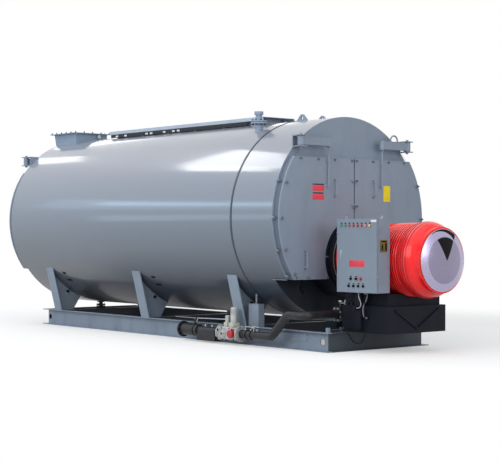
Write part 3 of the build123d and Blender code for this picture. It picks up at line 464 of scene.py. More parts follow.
nut_steel = plain("nut_steel", display(104, 112, 126), 0.34, coat=0.3)
dark_steel = plain("dark_steel", display(40, 43, 49), 0.45, metallic=0.3, coat=0.0, gloss=0.3)
matt_black = plain("matt_black", display(14, 13, 16), 0.5, coat=0.0, gloss=0.1)
black_rubber = plain("black_rubber", display(24, 24, 28), 0.7, coat=0.0, gloss=0.1)
cream_cover = plain("cream_cover", display(196, 195, 184), 0.4)
white_plastic = plain("white_plastic", display(226, 228, 230), 0.35)
plate_red = plain("plate_red", display(226, 60, 76), 0.4, coat=0.1)
plate_yellow = plain("plate_yellow", display(238, 214, 20), 0.4, coat=0.1)
plate_ochre = plain("plate_ochre", display(104, 90, 30), 0.45, coat=0.0)
lamp_green = plain("lamp_green", display(40, 150, 96), 0.15, coat=0.6, glow=0.15)
lamp_red = plain("lamp_red", display(190, 42, 62), 0.15, coat=0.6, glow=0.15)
lamp_orange = plain("lamp_orange", display(226, 128, 60), 0.15, coat=0.6, glow=0.15)
lamp_yellow = plain("lamp_yellow", display(226, 190, 92), 0.15, coat=0.6, glow=0.15)
rope_seal = plain("rope_seal", display(112, 108, 100), 0.9, coat=0.0, gloss=0.1)
cable_white = plain("cable_white", display(206, 208, 212), 0.5, coat=0.0)
cable_grey = plain("cable_grey", display(120, 124, 132), 0.5, coat=0.0)
tread = tread_deck()
tube_paint_painted_shade = tube_wall()
white_cable.data.materials.append(cable_white)
flexible_conduit.data.materials.append(cable_grey)
loop_cable.data.materials.append(black_rubber)


def dress(finish, *nodes):
    """Give the CAD nodes this finish."""
    for name in nodes:
        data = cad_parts[name].data
        data.materials.clear()
        data.materials.append(finish)


for node_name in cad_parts:
    if node_name.startswith("skid_"):
        dress(beam_grey, node_name)
    elif node_name.endswith("_leg"):
        dress(skid_grey, node_name)
    else:
        dress(door_grey, node_name)
dress(cladding_gloss, "shell_cladding")
dress(strap_metal, "cladding_seam_strap")
dress(frame_grey_painted_shade, "front_smokebox_frame", "rear_smokebox_frame")
dress(tube_paint_painted_shade, "front_tube_plate", "rear_tube_plate", "rear_lower_plate")
dress(flue_grey, "flue_outlet", "shoulder_nozzle", "left_lifting_lug", "right_lifting_lug")
dress(tread, "top_walkway")
dress(barrel_red, "burner_barrel", "burner_front_ring")
dress(cover_metal, "burner_dished_cover")
dress(base_black, "burner_base", "burner_throat")
dress(cabinet_grey, "control_cabinet", "control_cabinet_door", "junction_box")
dress(pipe_black, "gas_inlet_valve", "gas_filter", "gas_pipe", "gas_butterfly_valve", "burner_gas_riser")
dress(pipe_black, "blowdown_nozzle")
dress(lever_steel, "gas_inlet_lever")
dress(alloy, "gas_valve_block")
dress(cap_red, "gas_regulator_cap")


# Mesh helpers

up = (0, 0, 1)
down = (0, 0, -1)
to_left = (-1, 0, 0)
to_front = (0, -1, 0)
to_rear = (0, 1, 0)


def standing(place, direction):
    """Transform that stands a shape's Z axis along a direction at a place."""
    return Matrix.Translation(place) @ Vector(direction).to_track_quat("Z", "Y").to_matrix().to_4x4()


def add_round(mesh, place, direction, radius, height, sides=24, top=None):
    """Cylinder or cone that rises from a place along a direction."""
    stand = standing(place, direction) @ Matrix.Translation((0, 0, height / 2))
    bmesh.ops.create_cone(
        mesh, cap_ends=True, segments=sides, radius1=radius,
        radius2=radius if top is None else top, depth=height, matrix=stand,
    )


def soften(mesh, made, edge):
    """Bevel the edges of a shape that was just made."""
    edges = {e for v in made["verts"] for e in v.link_edges}
    bmesh.ops.bevel(
        mesh, geom=list(edges), offset=edge, offset_type="OFFSET", segments=2,
        profile=0.5, affect="EDGES", material=-1, clamp_overlap=True,
    )


def add_block(mesh, corner, opposite, edge=0.0):
    """Box between two opposite corners, with softened edges."""
    low = Vector([min(pair) for pair in zip(corner, opposite)])
    high = Vector([max(pair) for pair in zip(corner, opposite)])
    size = Matrix.Diagonal((*(high - low), 1.0))
    made = bmesh.ops.create_cube(mesh, size=1.0, matrix=Matrix.Translation((low + high) / 2) @ size)
    if edge:
        soften(mesh, made, edge)


def facing(place, direction):
    """Transform of a flat thing on a face: its width runs level and its height up the face."""
    out = Vector(direction).normalized()
    across = Vector(up).cross(out)
    if across.length < 0.1:
        across = Vector((1, 0, 0))
    across.normalize()
    turn = Matrix((across, out.cross(across), out)).transposed().to_4x4()
    return Matrix.Translation(place) @ turn


def add_plate(mesh, place, direction, wide, tall, thick, edge=0.002):
    """Flat plate that faces a direction, with its back at the place."""
    size = Matrix.Diagonal((wide, tall, thick, 1.0))
    stand = facing(place, direction) @ Matrix.Translation((0, 0, thick / 2)) @ size
    soften(mesh, bmesh.ops.create_cube(mesh, size=1.0, matrix=stand), edge)


def add_bolt(mesh, place, direction, across, head, shank=0.0):
    """Washer, hexagon and thread end, standing on a face. The other sizes are shares of the width."""
    direction = Vector(direction).normalized()
    washer = across * 0.12
    add_round(mesh, place, direction, across * 0.68, washer, 16)
    foot = Vector(place) + direction * washer
    add_round(mesh, foot, direction, across * 0.56, head, 6, across * 0.53)
    if shank:
        add_round(mesh, foot + direction * head, direction, across * 0.3, shank, 10, across * 0.26)


def around(count, radius):
    """Offsets of bolts on a circle, the first half a pitch from the axis."""
    angles = [2 * pi * (index + 0.5) / count for index in range(count)]
    return [(radius * cos(angle), radius * sin(angle)) for angle in angles]


def spin_circle(mesh, segments, radius, stand, centre, axis, steps, angle=2 * pi):
    """Carry a circle round an axis. A full turn closes on itself."""
    made = bmesh.ops.create_circle(mesh, segments=segments, radius=radius, matrix=stand)
    edges = list({e for v in made["verts"] for e in v.link_edges})
    bmesh.ops.spin(
        mesh, geom=made["verts"] + edges, cent=centre, axis=axis,
        angle=angle, steps=steps, use_merge=angle == 2 * pi,
    )


def add_ring(mesh, centre, direction, radius, thick, sides=40, cross=8):
    """Round bar bent to a full ring."""
    stand = standing(centre, direction)
    bar = stand @ Matrix.Translation((radius, 0, 0)) @ Matrix.Rotation(pi / 2, 4, "X")
    spin_circle(mesh, cross, thick, bar, centre, stand.col[2].xyz, sides)


def add_sleeve(mesh, centre, direction, inner, outer, length, sides=28):
    """Short open tube round a centre."""
    across = Matrix.Translation(((inner + outer) / 2, 0, 0))
    square = Matrix.Diagonal(((outer - inner) / sqrt(2), 1.0, length / sqrt(2), 1.0))
    profile = Matrix.Rotation(pi / 2, 4, "X") @ Matrix.Rotation(pi / 4, 4, "Z")
    stand = standing(centre, direction)
    spin_circle(mesh, 4, 1.0, stand @ across @ square @ profile, centre, stand.col[2].xyz, sides)


def add_bar(mesh, start, end, radius, sides=12):
    """Straight round bar between two points."""
    start, end = Vector(start), Vector(end)
    add_round(mesh, start, end - start, radius, (end - start).length, sides)


def add_bent_bar(mesh, points, radius, sides=12):
    """Round bar through several points, with a ball at each turn."""
    for start, end in zip(points, points[1:]):
        add_bar(mesh, start, end, radius, sides)
    for point in points[1:-1]:
        bmesh.ops.create_uvsphere(
            mesh, u_segments=sides, v_segments=sides // 2, radius=radius, matrix=Matrix.Translation(point)
        )


def thicken(sheet, depth):
    """Pull a sheet forward by its thickness."""
    made = bmesh.ops.extrude_face_region(sheet, geom=sheet.faces[:])
    lifted = [v for v in made["geom"] if isinstance(v, bmesh.types.BMVert)]
    bmesh.ops.translate(sheet, verts=lifted, vec=(0, -depth, 0))


def make_piece(name, mesh, finish, slot="door_paint", body="boiler"):
    """Turn a finished bmesh into a piece that rides on a body."""
    bmesh.ops.recalc_face_normals(mesh, faces=mesh.faces[:])
    data = bpy.data.meshes.new(name)
    mesh.to_mesh(data)
    mesh.free()
    data.materials.append(finish)
    data.polygons.foreach_set("use_smooth", [True] * len(data.polygons))
    data.set_sharp_from_angle(angle=radians(38))
    thing = bpy.data.objects.new(name, data)
    scene.collection.objects.link(thing)
    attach(thing, body)


@contextmanager
def piece(name, finish, slot="door_paint", body="boiler"):
    """A bmesh to fill in a with block, at whose end it becomes a piece."""
    mesh = bmesh.new()
    yield mesh
    make_piece(name, mesh, finish, slot, body)


# Smokebox doors. Places are a distance from the middle and a height.

door_ends = (("front", door_face, -1), ("rear", rear_door_face, 1))
door_high_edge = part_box("front_smokebox_frame")[1].z - 0.004
rim_clamps = ((1.221, 2.163), (1.290, 1.702), (1.238, 1.297), (1.075, 0.985))
chord_nuts = ((0.956, 2.472), (0.653, 2.472), (0.354, 2.472), (0.040, 2.472))
foot_nuts = ((0.829, 0.932), (1.030, 0.938))
throat_nuts = ((0.343, 1.518), (0.502, 1.200), (0.488, 0.930))
grip_ends = ((0.360, 1.984), (0.360, 2.210), (0.884, 1.042), (0.884, 1.268))
split_clamps = (2.205, 1.868)
clamp_reach = 1.292
knob_reach = {"front": 1.352, "rear": 1.296}
seal_radius = 1.300
seal_depth = 0.0775
rod_x = 0.495
rod_radius = 0.010
pivot_x = 0.985


def add_door_fasteners():
    """Nuts and lugs that ride on each half door, and the knobs and pin washers beside it."""
    for end, face, outward in door_ends:
        out = Vector((0, outward, 0))
        arm_low, arm_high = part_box(f"{end}_left_davit_arm")
        fork_low, fork_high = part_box(f"{end}_left_davit_bracket")
        rod_y = (arm_low.y + arm_high.y) / 2
        clamp_face = face + outward * 0.026
        for name, side in (("left", -1), ("right", 1)):
            leaf = f"{end}_{name}_leaf"
            spokes = [Vector((side * x, 0, z - axis_z)).normalized() for x, z in rim_clamps]
            nuts = bmesh.new()
            lugs = bmesh.new()
            for x, z in chord_nuts + foot_nuts + throat_nuts:
                add_bolt(nuts, (side * x, face, z), out, 0.026, 0.016, 0.012)
            for x, z in grip_ends:
                add_round(nuts, (side * x, face, z), out, 0.013, 0.003, 16)
                add_round(nuts, (side * x, face + outward * 0.003, z), out, 0.009, 0.008, 6)
            for spoke in spokes:
                edge = Vector((0, face, axis_z)) + spoke * clamp_reach
                add_plate(lugs, edge, out, 0.046, 0.046, 0.012)
                add_bolt(nuts, edge + out * 0.012, out, 0.030, 0.020, 0.018)
            for z in split_clamps:
                add_block(lugs, (side * 0.004, face, z - 0.022), (side * 0.044, clamp_face, z + 0.022), 0.004)
                add_bolt(nuts, (side * 0.024, clamp_face, z), out, 0.024, 0.014, 0.012)
            for z, way in ((arm_high.z, 1), (arm_low.z, -1)):
                add_round(nuts, (side * rod_x, rod_y, z), (0, 0, way), 0.021, 0.003, 20)
                add_round(nuts, (side * rod_x, rod_y, z + way * 0.003), (0, 0, way), 0.019, 0.018, 6, 0.018)
            add_round(nuts, (side * rod_x, rod_y, arm_high.z), up, rod_radius, 0.034, 12, 0.008)
            make_piece(f"{end}_{name}_door_nuts", nuts, nut_steel, body=leaf)
            make_piece(f"{end}_{name}_door_lugs", lugs, door_grey, body=leaf)
            with piece(f"{end}_{name}_frame_knobs", nut_steel) as knobs:
                for spoke in spokes:
                    foot = Vector((0, face - outward * 0.077, axis_z)) + spoke * knob_reach[end]
                    add_round(knobs, foot - out * 0.022, out, 0.019, 0.044, 14)
            with piece(f"{end}_{name}_pin_washers", nut_steel) as washers:
                for z, way in ((fork_high.z, 1), (fork_low.z, -1)):
                    place = (side * pivot_x, rod_y, z - way * 0.0195)
                    add_round(washers, place, (0, 0, way), 0.029, 0.0015, 24)


def add_arm_eye():
    """Bent eye that stands on the front right davit arm."""
    low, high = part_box("front_right_davit_arm")
    foot = Vector((0.724, (low.y + high.y) / 2, high.z + 0.005))
    bend = foot + Vector((0, 0, 0.012))
    reach = Vector((0.066, 0, 0))
    with piece("front_right_arm_eye", door_grey, body="front_right_arm") as eye:
        spin_circle(eye, 10, 0.011, Matrix.Translation(bend + reach), bend, to_front, 16, pi)
        for leg in (foot - reach, foot + reach):
            add_round(eye, leg - Vector((0, 0, 0.011)), up, 0.0111, 0.024, 10)


def add_chord_lugs():
    """Slotted lugs under the lower edge of the smokebox, and the edge of its floor on the cladding."""
    top = door_low.z + 0.002
    with piece("smokebox_hinge_lugs", matt_black) as lugs:
        for x, drop in ((-0.935, 0.105), (-0.895, 0.150)):
            foot = top - drop
            add_block(lugs, (x - 0.012, front_y - 0.066, foot), (x + 0.012, front_y - 0.050, top), 0.003)
            low = (x - 0.026, front_y - 0.074, foot - 0.040)
            add_block(lugs, low, (x + 0.026, front_y - 0.044, foot + 0.012), 0.004)
    with piece("smokebox_floor_edge", door_grey) as edge:
        for side in (-1, 1):
            near = (side * 1.076, front_y + 0.011, 0.900)
            add_block(edge, near, (side * 1.102, front_y + 0.275, 0.909), 0.002)


def add_door_plates():
    """Plain coloured plates on the front doors."""
    for name, finish, leaf, x, heights, wide, tall in (
        ("left_door_plates", plate_red, "front_left_leaf", -0.652, (2.0945, 1.9805), 0.204, 0.073),
        ("left_door_plate_bands", dark_steel, "front_left_leaf", -0.652, (2.143, 2.030), 0.190, 0.016),
        ("right_door_plate", plate_yellow, "front_right_leaf", 0.620, (2.0425,), 0.130, 0.215),
    ):
        with piece(name, finish, body=leaf) as plates:
            for z in heights:
                add_plate(plates, (x, door_face, z), to_front, wide, tall, 0.002, 0.0006)


def add_seals():
    """Rope in the joint between each door and its frame, and the gasket between the half doors."""
    for end, y in (("front", front_y - seal_depth), ("rear", rear_y + seal_depth)):
        with piece(f"{end}_door_rope_seal", rope_seal) as rope:
            start = Matrix.Translation((seal_radius, y, axis_z)) @ Matrix.Rotation(pi / 2, 4, "X")
            spin_circle(rope, 6, 0.0022, start, (0, y, axis_z), to_rear, 120)
            for z, way in ((door_high.z - 0.03, 1), (door_low.z + 0.03, -1)):
                everything = rope.verts[:] + rope.edges[:] + rope.faces[:]
                bmesh.ops.bisect_plane(
                    rope, geom=everything, plane_co=(0, y, z), plane_no=(0, 0, way), clear_outer=True
                )
    for end, face, outward in door_ends:
        with piece(f"{end}_door_joint_gasket", matt_black, body=f"{end}_right_leaf") as strip:
            far = face + outward * 0.0015
            add_block(strip, (-0.0040, face, 1.700), (0.0065, far, door_high_edge))


# Tubes behind the doors

def add_tube_ends():
    """Staggered tube ends on both plates, within the shell and clear of the furnace."""
    pitch = 0.105
    plate_reach = 1.16
    furnace_reach = 0.66
    for end, y, out in (("front", front_y + 0.250, -1), ("rear", rear_y - 0.620, 1)):
        rings = bmesh.new()
        holes = bmesh.new()
        for row in range(-4, 12):
            z = axis_z - 0.26 + row * pitch * 0.866
            shift = pitch / 2 if row % 2 else 0.0
            for column in range(-11, 12):
                x = column * pitch + shift
                if x * x + (z - axis_z) ** 2 > plate_reach ** 2:
                    continue
                if x * x + (z - burner_z) ** 2 < furnace_reach ** 2:
                    continue
                add_round(rings, (x, y, z), (0, out, 0), 0.036, 0.006, 14, 0.033)
                add_round(holes, (x, y + out * 0.006, z), (0, out, 0), 0.027, 0.0012, 12)
        make_piece(f"{end}_tube_ends", rings, tube_paint_painted_shade, "plate_paint")
        make_piece(f"{end}_tube_bores", holes, black_rubber, "plate_paint")


# Cabinet

def add_cabinet_door_details():
    """Lamps, buttons, plates and the latch, which ride on the cabinet's door."""
    door = ("cabinet_paint", "cabinet_leaf")
    face = cabinet_low.x
    first_lamp, lamp_pitch, lamp_z = along(-0.622), 0.0719, 1.604
    bezels = bmesh.new()
    labels = bmesh.new()

    def lamp_y(index):
        """Place of a lamp in the row, from the front."""
        return first_lamp - index * lamp_pitch

    for index in range(8):
        add_round(bezels, (face, lamp_y(index), lamp_z), to_left, 0.0185, 0.006, 20)
        add_plate(labels, (face, lamp_y(index), lamp_z + 0.030), to_left, 0.030, 0.012, 0.002, 0.0005)
    for name, finish, places in (
        ("cabinet_green_lamps", lamp_green, (0, 1)), ("cabinet_red_lamps", lamp_red, (2, 3, 4, 5)),
        ("cabinet_orange_lamps", lamp_orange, (6,)), ("cabinet_yellow_lamps", lamp_yellow, (7,)),
    ):
        with piece(name, finish, *door) as domes:
            for index in places:
                add_round(domes, (face - 0.006, lamp_y(index), lamp_z), to_left, 0.0165, 0.012, 20, 0.012)
    with piece("cabinet_button_caps", black_rubber, *door) as caps:
        for y, z in (
            (-0.794, 0.938), (-0.889, 0.938),
            (-0.759, 0.846), (-0.843, 0.846), (-0.928, 0.848), (-1.012, 0.848),
        ):
            add_round(bezels, (face, along(y), z), to_left, 0.018, 0.006, 20)
            add_round(caps, (face - 0.006, along(y), z), to_left, 0.014, 0.016, 20, 0.0125)
            add_plate(labels, (face, along(y), z + 0.029), to_left, 0.030, 0.012, 0.002, 0.0005)
    # Painted light: the stop button takes the lamps' red finish, which glows, though it is no lamp.
    with piece("cabinet_stop_button", lamp_red, *door) as stop:
        stop_y, stop_z = along(-0.963), 0.940
        add_round(bezels, (face, stop_y, stop_z), to_left, 0.018, 0.006, 20)
        add_round(stop, (face - 0.006, stop_y, stop_z), to_left, 0.013, 0.010, 20)
        add_round(stop, (face - 0.016, stop_y, stop_z), to_left, 0.021, 0.010, 24, 0.018)
    make_piece("cabinet_lamp_bezels", bezels, dark_steel, *door)
    make_piece("cabinet_label_strips", labels, black_rubber, *door)
    with piece("cabinet_red_plate", plate_red, *door) as plate:
        add_plate(plate, (face, along(-0.898), 1.128), to_left, 0.270, 0.078, 0.0015, 0.0005)
    with piece("cabinet_latch", bright_steel, *door) as latch:
        add_plate(latch, (face, along(-0.616), 1.225), to_left, 0.026, 0.140, 0.006)
        add_plate(latch, (face - 0.006, along(-0.616), 1.225), to_left, 0.014, 0.116, 0.014, 0.003)
    with piece("cabinet_corner_plate", white_plastic, *door) as plate:
        add_plate(plate, (face, along(-1.188), 1.660), to_left, 0.095, 0.028, 0.0015, 0.0005)


def add_cabinet_case_details():
    """Side plate, spare glands, hinge pins and lifting eyes, which stay on the case."""
    case_low, case_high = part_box("control_cabinet")
    case_x = -0.600
    side_y = cabinet_low.y + 0.009
    side_plate = 0.0015
    with piece("cabinet_side_plate", plate_ochre, "cabinet_paint") as plate:
        add_plate(plate, (-0.608, side_y, 1.353), to_front, 0.122, 0.146, side_plate, 0.0005)
    with piece("cabinet_side_plate_blocks", black_rubber, "cabinet_paint") as marks:
        for x, z, wide, tall in (
            (-0.608, 1.405, 0.098, 0.018), (-0.570, 1.340, 0.030, 0.092), (-0.636, 1.334, 0.026, 0.070),
        ):
            add_plate(marks, (x, side_y - side_plate, z), to_front, wide, tall, 0.0006, 0.0002)
    with piece("cabinet_spare_glands", black_rubber, "cabinet_paint") as glands:
        for y in (-0.62, -0.70, -0.93, -1.10):
            add_round(glands, (case_x, along(y), cabinet_low.z), down, 0.015, 0.010, 6)
            add_round(glands, (case_x, along(y), cabinet_low.z - 0.010), down, 0.011, 0.014, 16, 0.008)
    with piece("cabinet_hinge_pins", nut_steel, "cabinet_paint") as hinges:
        hinge_x, hinge_y = cabinet_low.x + 0.010, case_low.y - 0.004
        for z in (0.92, 1.53):
            add_bar(hinges, (hinge_x, hinge_y, z - 0.035), (hinge_x, hinge_y, z + 0.035), 0.006)
    with piece("cabinet_lifting_eyes", bright_steel, "cabinet_paint") as eyes:
        for y in (-0.580, -1.200):
            add_round(eyes, (case_x, along(y), case_high.z), up, 0.014, 0.006, 20)
            add_ring(eyes, (case_x, along(y), case_high.z + 0.021), (1, 0, 0), 0.013, 0.0035, 24, 8)


# Burner

dish_radius = 1.073
dish_centre = Vector((0, dome_low.y + dish_radius, burner_z))
inlay_lift = 0.0008


def dish_inlay(inner, outer, start, sweep):
    """Thin sheet on the cover's dish, between two radii and over an angle."""
    sheet = bmesh.new()
    steps = 14
    line = []
    for step in range(steps + 1):
        radius = inner + (outer - inner) * step / steps
        depth = -sqrt((dish_radius + inlay_lift) ** 2 - radius ** 2)
        line.append(sheet.verts.new(dish_centre + Vector((0, depth, radius))))
    edges = [sheet.edges.new(pair) for pair in zip(line, line[1:])]
    turn = Matrix.Rotation(start, 3, to_front)
    bmesh.ops.rotate(sheet, verts=sheet.verts[:], cent=dish_centre, matrix=turn)
    bmesh.ops.spin(
        sheet, geom=sheet.verts[:] + edges, cent=dish_centre, axis=to_front, angle=sweep, steps=28
    )
    bmesh.ops.remove_doubles(sheet, verts=sheet.verts[:], dist=0.0001)
    return sheet


def add_cover_inlays():
    """Window in the burner's cover, and the crescent of painted shadow round it, which narrows to the right.
    """
    window = dish_inlay(0.0, 0.286, radians(-32), radians(59))
    thicken(window, 0.003)
    make_piece("burner_cover_window", window, matt_black, "brushed_cover")
    rim = 0.386
    tip, span, thinnest = 36, 70, 0.92
    # Painted shadow: a black sheet on the dish near its rim.
    crescent = dish_inlay(0.300, rim, radians(-35), radians(67))
    for vert in crescent.verts:
        offset = vert.co - dish_centre
        angle = degrees(atan2(offset.x, offset.z))
        radius = sqrt(offset.x ** 2 + offset.z ** 2)
        share = max(0.0, min(1.0, (tip - angle) / span)) ** 0.6
        pushed = radius + (rim - radius) * min(thinnest, share)
        depth = -sqrt((dish_radius + inlay_lift) ** 2 - pushed ** 2)
        vert.co = dish_centre + Vector((offset.x * pushed / radius, depth, offset.z * pushed / radius))
    thicken(crescent, 0.002)
    make_piece("burner_cover_shade", crescent, matt_black, "brushed_cover")


def add_burner_details():
    """Last ribs of the barrel, cover bead, mounting rope and bolts, and the nut of the conduit."""
    barrel_radius, taper_start, taper = 0.462, -1.140, 0.0385
    with piece("burner_barrel_ribs", barrel_red, "burner_red") as ribs:
        for index in range(9):
            y = -first_rib - rib_pitch * index
            radius = barrel_radius - taper * max(0.0, y - taper_start)
            add_ring(ribs, (0, along(y), burner_z), to_rear, radius - 0.001, 0.0085, 72)
    with piece("burner_cover_bead", bright_steel, "brushed_cover") as bead:
        add_ring(bead, (0, along(-1.671), burner_z), to_rear, 0.3885, 0.005, 96)
    with piece("burner_mount_rope", rope_seal, "black_steel") as rope:
        add_ring(rope, (0, along(-0.208), burner_z), to_rear, 0.470, 0.007, 72)
    with piece("burner_collar_bolts", dark_steel, "black_steel") as bolts:
        for x, rise in around(16, 0.4576):
            add_bolt(bolts, (x, along(-0.205), burner_z + rise), to_front, 0.020, 0.012, 0.008)
    with piece("burner_base_bolts", dark_steel, "black_steel") as bolts:
        for x in (-0.50, 0.50):
            for y in (-0.50, -0.575):
                add_bolt(bolts, (x, along(y), 0.592), up, 0.030, 0.018, 0.012)
    with piece("burner_base_conduit_nut", nut_steel, "black_steel") as nut:
        add_round(nut, (-0.555, along(-0.905), 0.440), to_left, 0.015, 0.014, 6)
        add_round(nut, (-0.569, along(-0.905), 0.440), (-1, 0, 0.35), 0.0125, 0.014, 20, 0.0115)


# Gas train. Its line runs at this distance from the middle and this height.

gas_x = -1.090
gas_z = 0.156
block_side = gas_x - 0.088


def add_gas_line_details():
    """Flange bolts, bands, impulse tubes, test points and the test cock."""
    with piece("gas_flange_bolts", bright_steel, "cast_alloy") as bolts:
        for y, way, shank in ((1.345, 1, 0.0), (0.940, 1, 0.0), (0.918, -1, 0.008)):
            for across, rise in around(8, 0.099):
                place = (gas_x + across, along(y), gas_z + rise)
                add_bolt(bolts, place, (0, way, 0), 0.019, 0.011, shank)
    with piece("gas_pipe_bands", dark_steel, "gas_black") as bands:
        for y, radius in ((1.890, 0.070), (1.825, 0.070), (1.425, 0.070), (0.790, 0.066), (0.690, 0.066)):
            add_round(bands, (gas_x, along(y) + 0.008, gas_z), to_front, radius, 0.016, 28)
    with piece("gas_impulse_tubes", bright_steel, "cast_alloy") as tubes:
        rear_run = ((1.895, 0.262), (1.875, 0.322), (1.27, 0.336), (1.215, 0.336))
        front_run = ((0.80, 0.213), (0.80, 0.262), (0.52, 0.262))
        add_bent_bar(tubes, [(gas_x, along(y), z) for y, z in rear_run], 0.008)
        add_bent_bar(tubes, [(gas_x - 0.03, along(y), z) for y, z in front_run], 0.007)
    with piece("gas_test_points", bright_steel, "cast_alloy") as points:
        for y in (1.70, 1.55):
            add_round(points, (gas_x, along(y), 0.212), up, 0.013, 0.026, 6)
            add_round(points, (gas_x, along(y), 0.238), up, 0.009, 0.012, 12)
        for y in (0.72, 0.60):
            add_round(points, (gas_x, along(y), 0.205), up, 0.014, 0.030, 6)
    cock_x, cock_y = gas_x - 0.04, along(0.62)
    with piece("gas_test_cock", alloy, "cast_alloy") as cock:
        add_bar(cock, (cock_x, cock_y, 0.208), (cock_x, cock_y, 0.250), 0.009)
        add_bar(cock, (cock_x, cock_y + 0.03, 0.256), (cock_x, cock_y - 0.03, 0.256), 0.013)
        add_round(cock, (cock_x, cock_y, 0.265), up, 0.006, 0.012, 12)
    with piece("gas_test_cock_lever", white_plastic, "cast_alloy") as blade:
        add_block(
            blade, (cock_x - 0.008, along(0.555), 0.277), (cock_x + 0.008, along(0.640), 0.281), 0.0015
        )


def add_gas_block_details():
    """Flange faces, actuator domes, coils, screws and the side cover of the valve block."""
    with piece("gas_block_flange_faces", alloy, "cast_alloy") as faces:
        for y, way in ((1.3465, 1), (0.9165, -1)):
            add_round(faces, (gas_x, along(y - way * 0.0015), gas_z), (0, way, 0), 0.107, 0.0025, 40)
    with piece("gas_actuator_domes", cream_cover, "cast_alloy") as heads:
        add_round(heads, (gas_x, along(1.075), 0.490), up, 0.0495, 0.018, 32, 0.034)
        add_round(heads, (gas_x, along(1.208), 0.383), up, 0.0355, 0.010, 28, 0.026)
    with piece("gas_coil_blocks", cream_cover, "cast_alloy") as coils:
        for half, near, far, top in ((0.060, 1.03, 1.12, 0.302), (0.045, 1.17, 1.245, 0.301)):
            add_block(coils, (gas_x - half, along(near), 0.244), (gas_x + half, along(far), top), 0.006)
    with piece("gas_block_screws", bright_steel, "cast_alloy") as screws:
        for step in (-0.048, 0.048):
            for rise in (-0.062, 0.062):
                for y in (1.225, 1.035):
                    add_bolt(screws, (block_side, along(y) + step, gas_z + rise), to_left, 0.012, 0.007)
    with piece("gas_block_side_cover", alloy, "cast_alloy") as cover:
        add_round(cover, (block_side, along(1.20), gas_z), to_left, 0.045, 0.006, 28)
        add_round(cover, (block_side - 0.006, along(1.20), gas_z), to_left, 0.018, 0.010, 20)


def add_butterfly_details():
    """Flange bolts and linkage of the butterfly valve."""
    valve_x, valve_y, valve_z = -0.440, along(-0.316), 0.458
    with piece("butterfly_flange_bolts", bright_steel, "cast_alloy") as bolts:
        for way in (-1, 1):
            for step, rise in around(8, 0.080):
                place = (valve_x + way * 0.080, valve_y + step, valve_z + rise)
                add_bolt(bolts, place, (way, 0, 0), 0.018, 0.010)
    with piece("butterfly_linkage", bright_steel, "cast_alloy") as link:
        add_round(link, (valve_x, valve_y, 0.620), up, 0.036, 0.016, 28)
        add_block(link, (valve_x - 0.022, along(-0.41), 0.598), (valve_x + 0.022, along(-0.30), 0.610), 0.003)
        add_bar(link, (valve_x, along(-0.395), 0.520), (valve_x, along(-0.395), 0.645), 0.009)


def add_block_plugs():
    """Dark blanking plugs and screws on the outer face of the valve block."""
    low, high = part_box("gas_valve_block")
    plug_x, plug_span = -1.2012, 0.215
    with piece("gas_block_plugs", matt_black, "cast_alloy") as plugs:
        for back_share, up_share, radius in (
            (0.10, 0.22, 0.012), (0.12, 0.72, 0.014), (0.30, 0.50, 0.013), (0.34, 0.85, 0.010),
            (0.36, 0.14, 0.012), (0.58, 0.12, 0.013), (0.84, 0.80, 0.013), (0.90, 0.46, 0.010),
            (0.92, 0.16, 0.012), (0.70, 0.86, 0.009),
        ):
            y = low.y + (high.y - low.y) * (1 - back_share)
            add_round(plugs, (plug_x, y, low.z + plug_span * up_share), to_left, radius, 0.004, 16)


# Skid, shell and crown

def add_shell_details():
    """Weep slots under the cladding as black sheets, painted shade for the inside of the slots; black sleeves
    in the legs' holes, painted shade that darkens them; and rivets on the seam strap.
    """
    # Painted shade: black sheets stand for the shade inside the weep slots.
    with piece("shell_weep_slots", black_rubber, "cladding") as slots:
        for side in (-1, 1):
            for station in (2.990, 5.410):
                for x, length in ((1.050, 0.085), (0.950, 0.135)):
                    z = axis_z - sqrt(shell_radius ** 2 - x ** 2)
                    normal = Vector((side * x, 0, z - axis_z)).normalized()
                    place = Vector((side * x, along(station), z)) - normal * 0.001
                    add_plate(slots, place, normal, length, 0.040, 0.004, 0.001)
    # Painted shade: black sleeves darken the legs' holes.
    with piece("leg_hole_sleeves", matt_black, "skid_paint") as sleeves:
        for x in (-0.770, 0.770):
            for station in (1.105, 3.350, 5.770):
                add_sleeve(sleeves, (x, along(station), 0.552), to_rear, 0.0165, 0.0215, 0.060)
    with piece("strap_rivets", strap_metal, "strap_steel") as rivets:
        count = 40
        for index in range(count):
            angle = radians(-50 + index * 280 / (count - 1))
            spoke = Vector((cos(angle), 0, sin(angle)))
            place = Vector((0, along(0.835), axis_z)) + spoke * (shell_radius + 0.0048)
            add_round(rivets, place, spoke, 0.0055, 0.0022, 8, 0.003)


def add_flue_details():
    """Studs round the flue flange, and the sampling socket."""
    low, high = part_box("flue_outlet")
    inset = 0.022
    across = [low.x + inset + k * (high.x - low.x - 2 * inset) / 4 for k in range(5)]
    lengthways = [low.y + inset + k * (high.y - low.y - 2 * inset) / 5 for k in range(6)]
    places = [(x, y) for x in across for y in (lengthways[0], lengthways[-1])]
    places += [(x, y) for y in lengthways[1:-1] for x in (across[0], across[-1])]
    with piece("flue_flange_studs", dark_steel, "flue_paint") as studs:
        for x, y in places:
            add_bolt(studs, (x, y, high.z), up, 0.022, 0.010, 0.012)
    with piece("flue_sample_socket", bright_steel, "flue_paint") as socket:
        add_round(socket, (-0.05, low.y + 0.050, high.z - 0.055), to_front, 0.030, 0.030, 24)
        add_round(socket, (-0.05, low.y + 0.021, high.z - 0.055), to_front, 0.036, 0.010, 6)


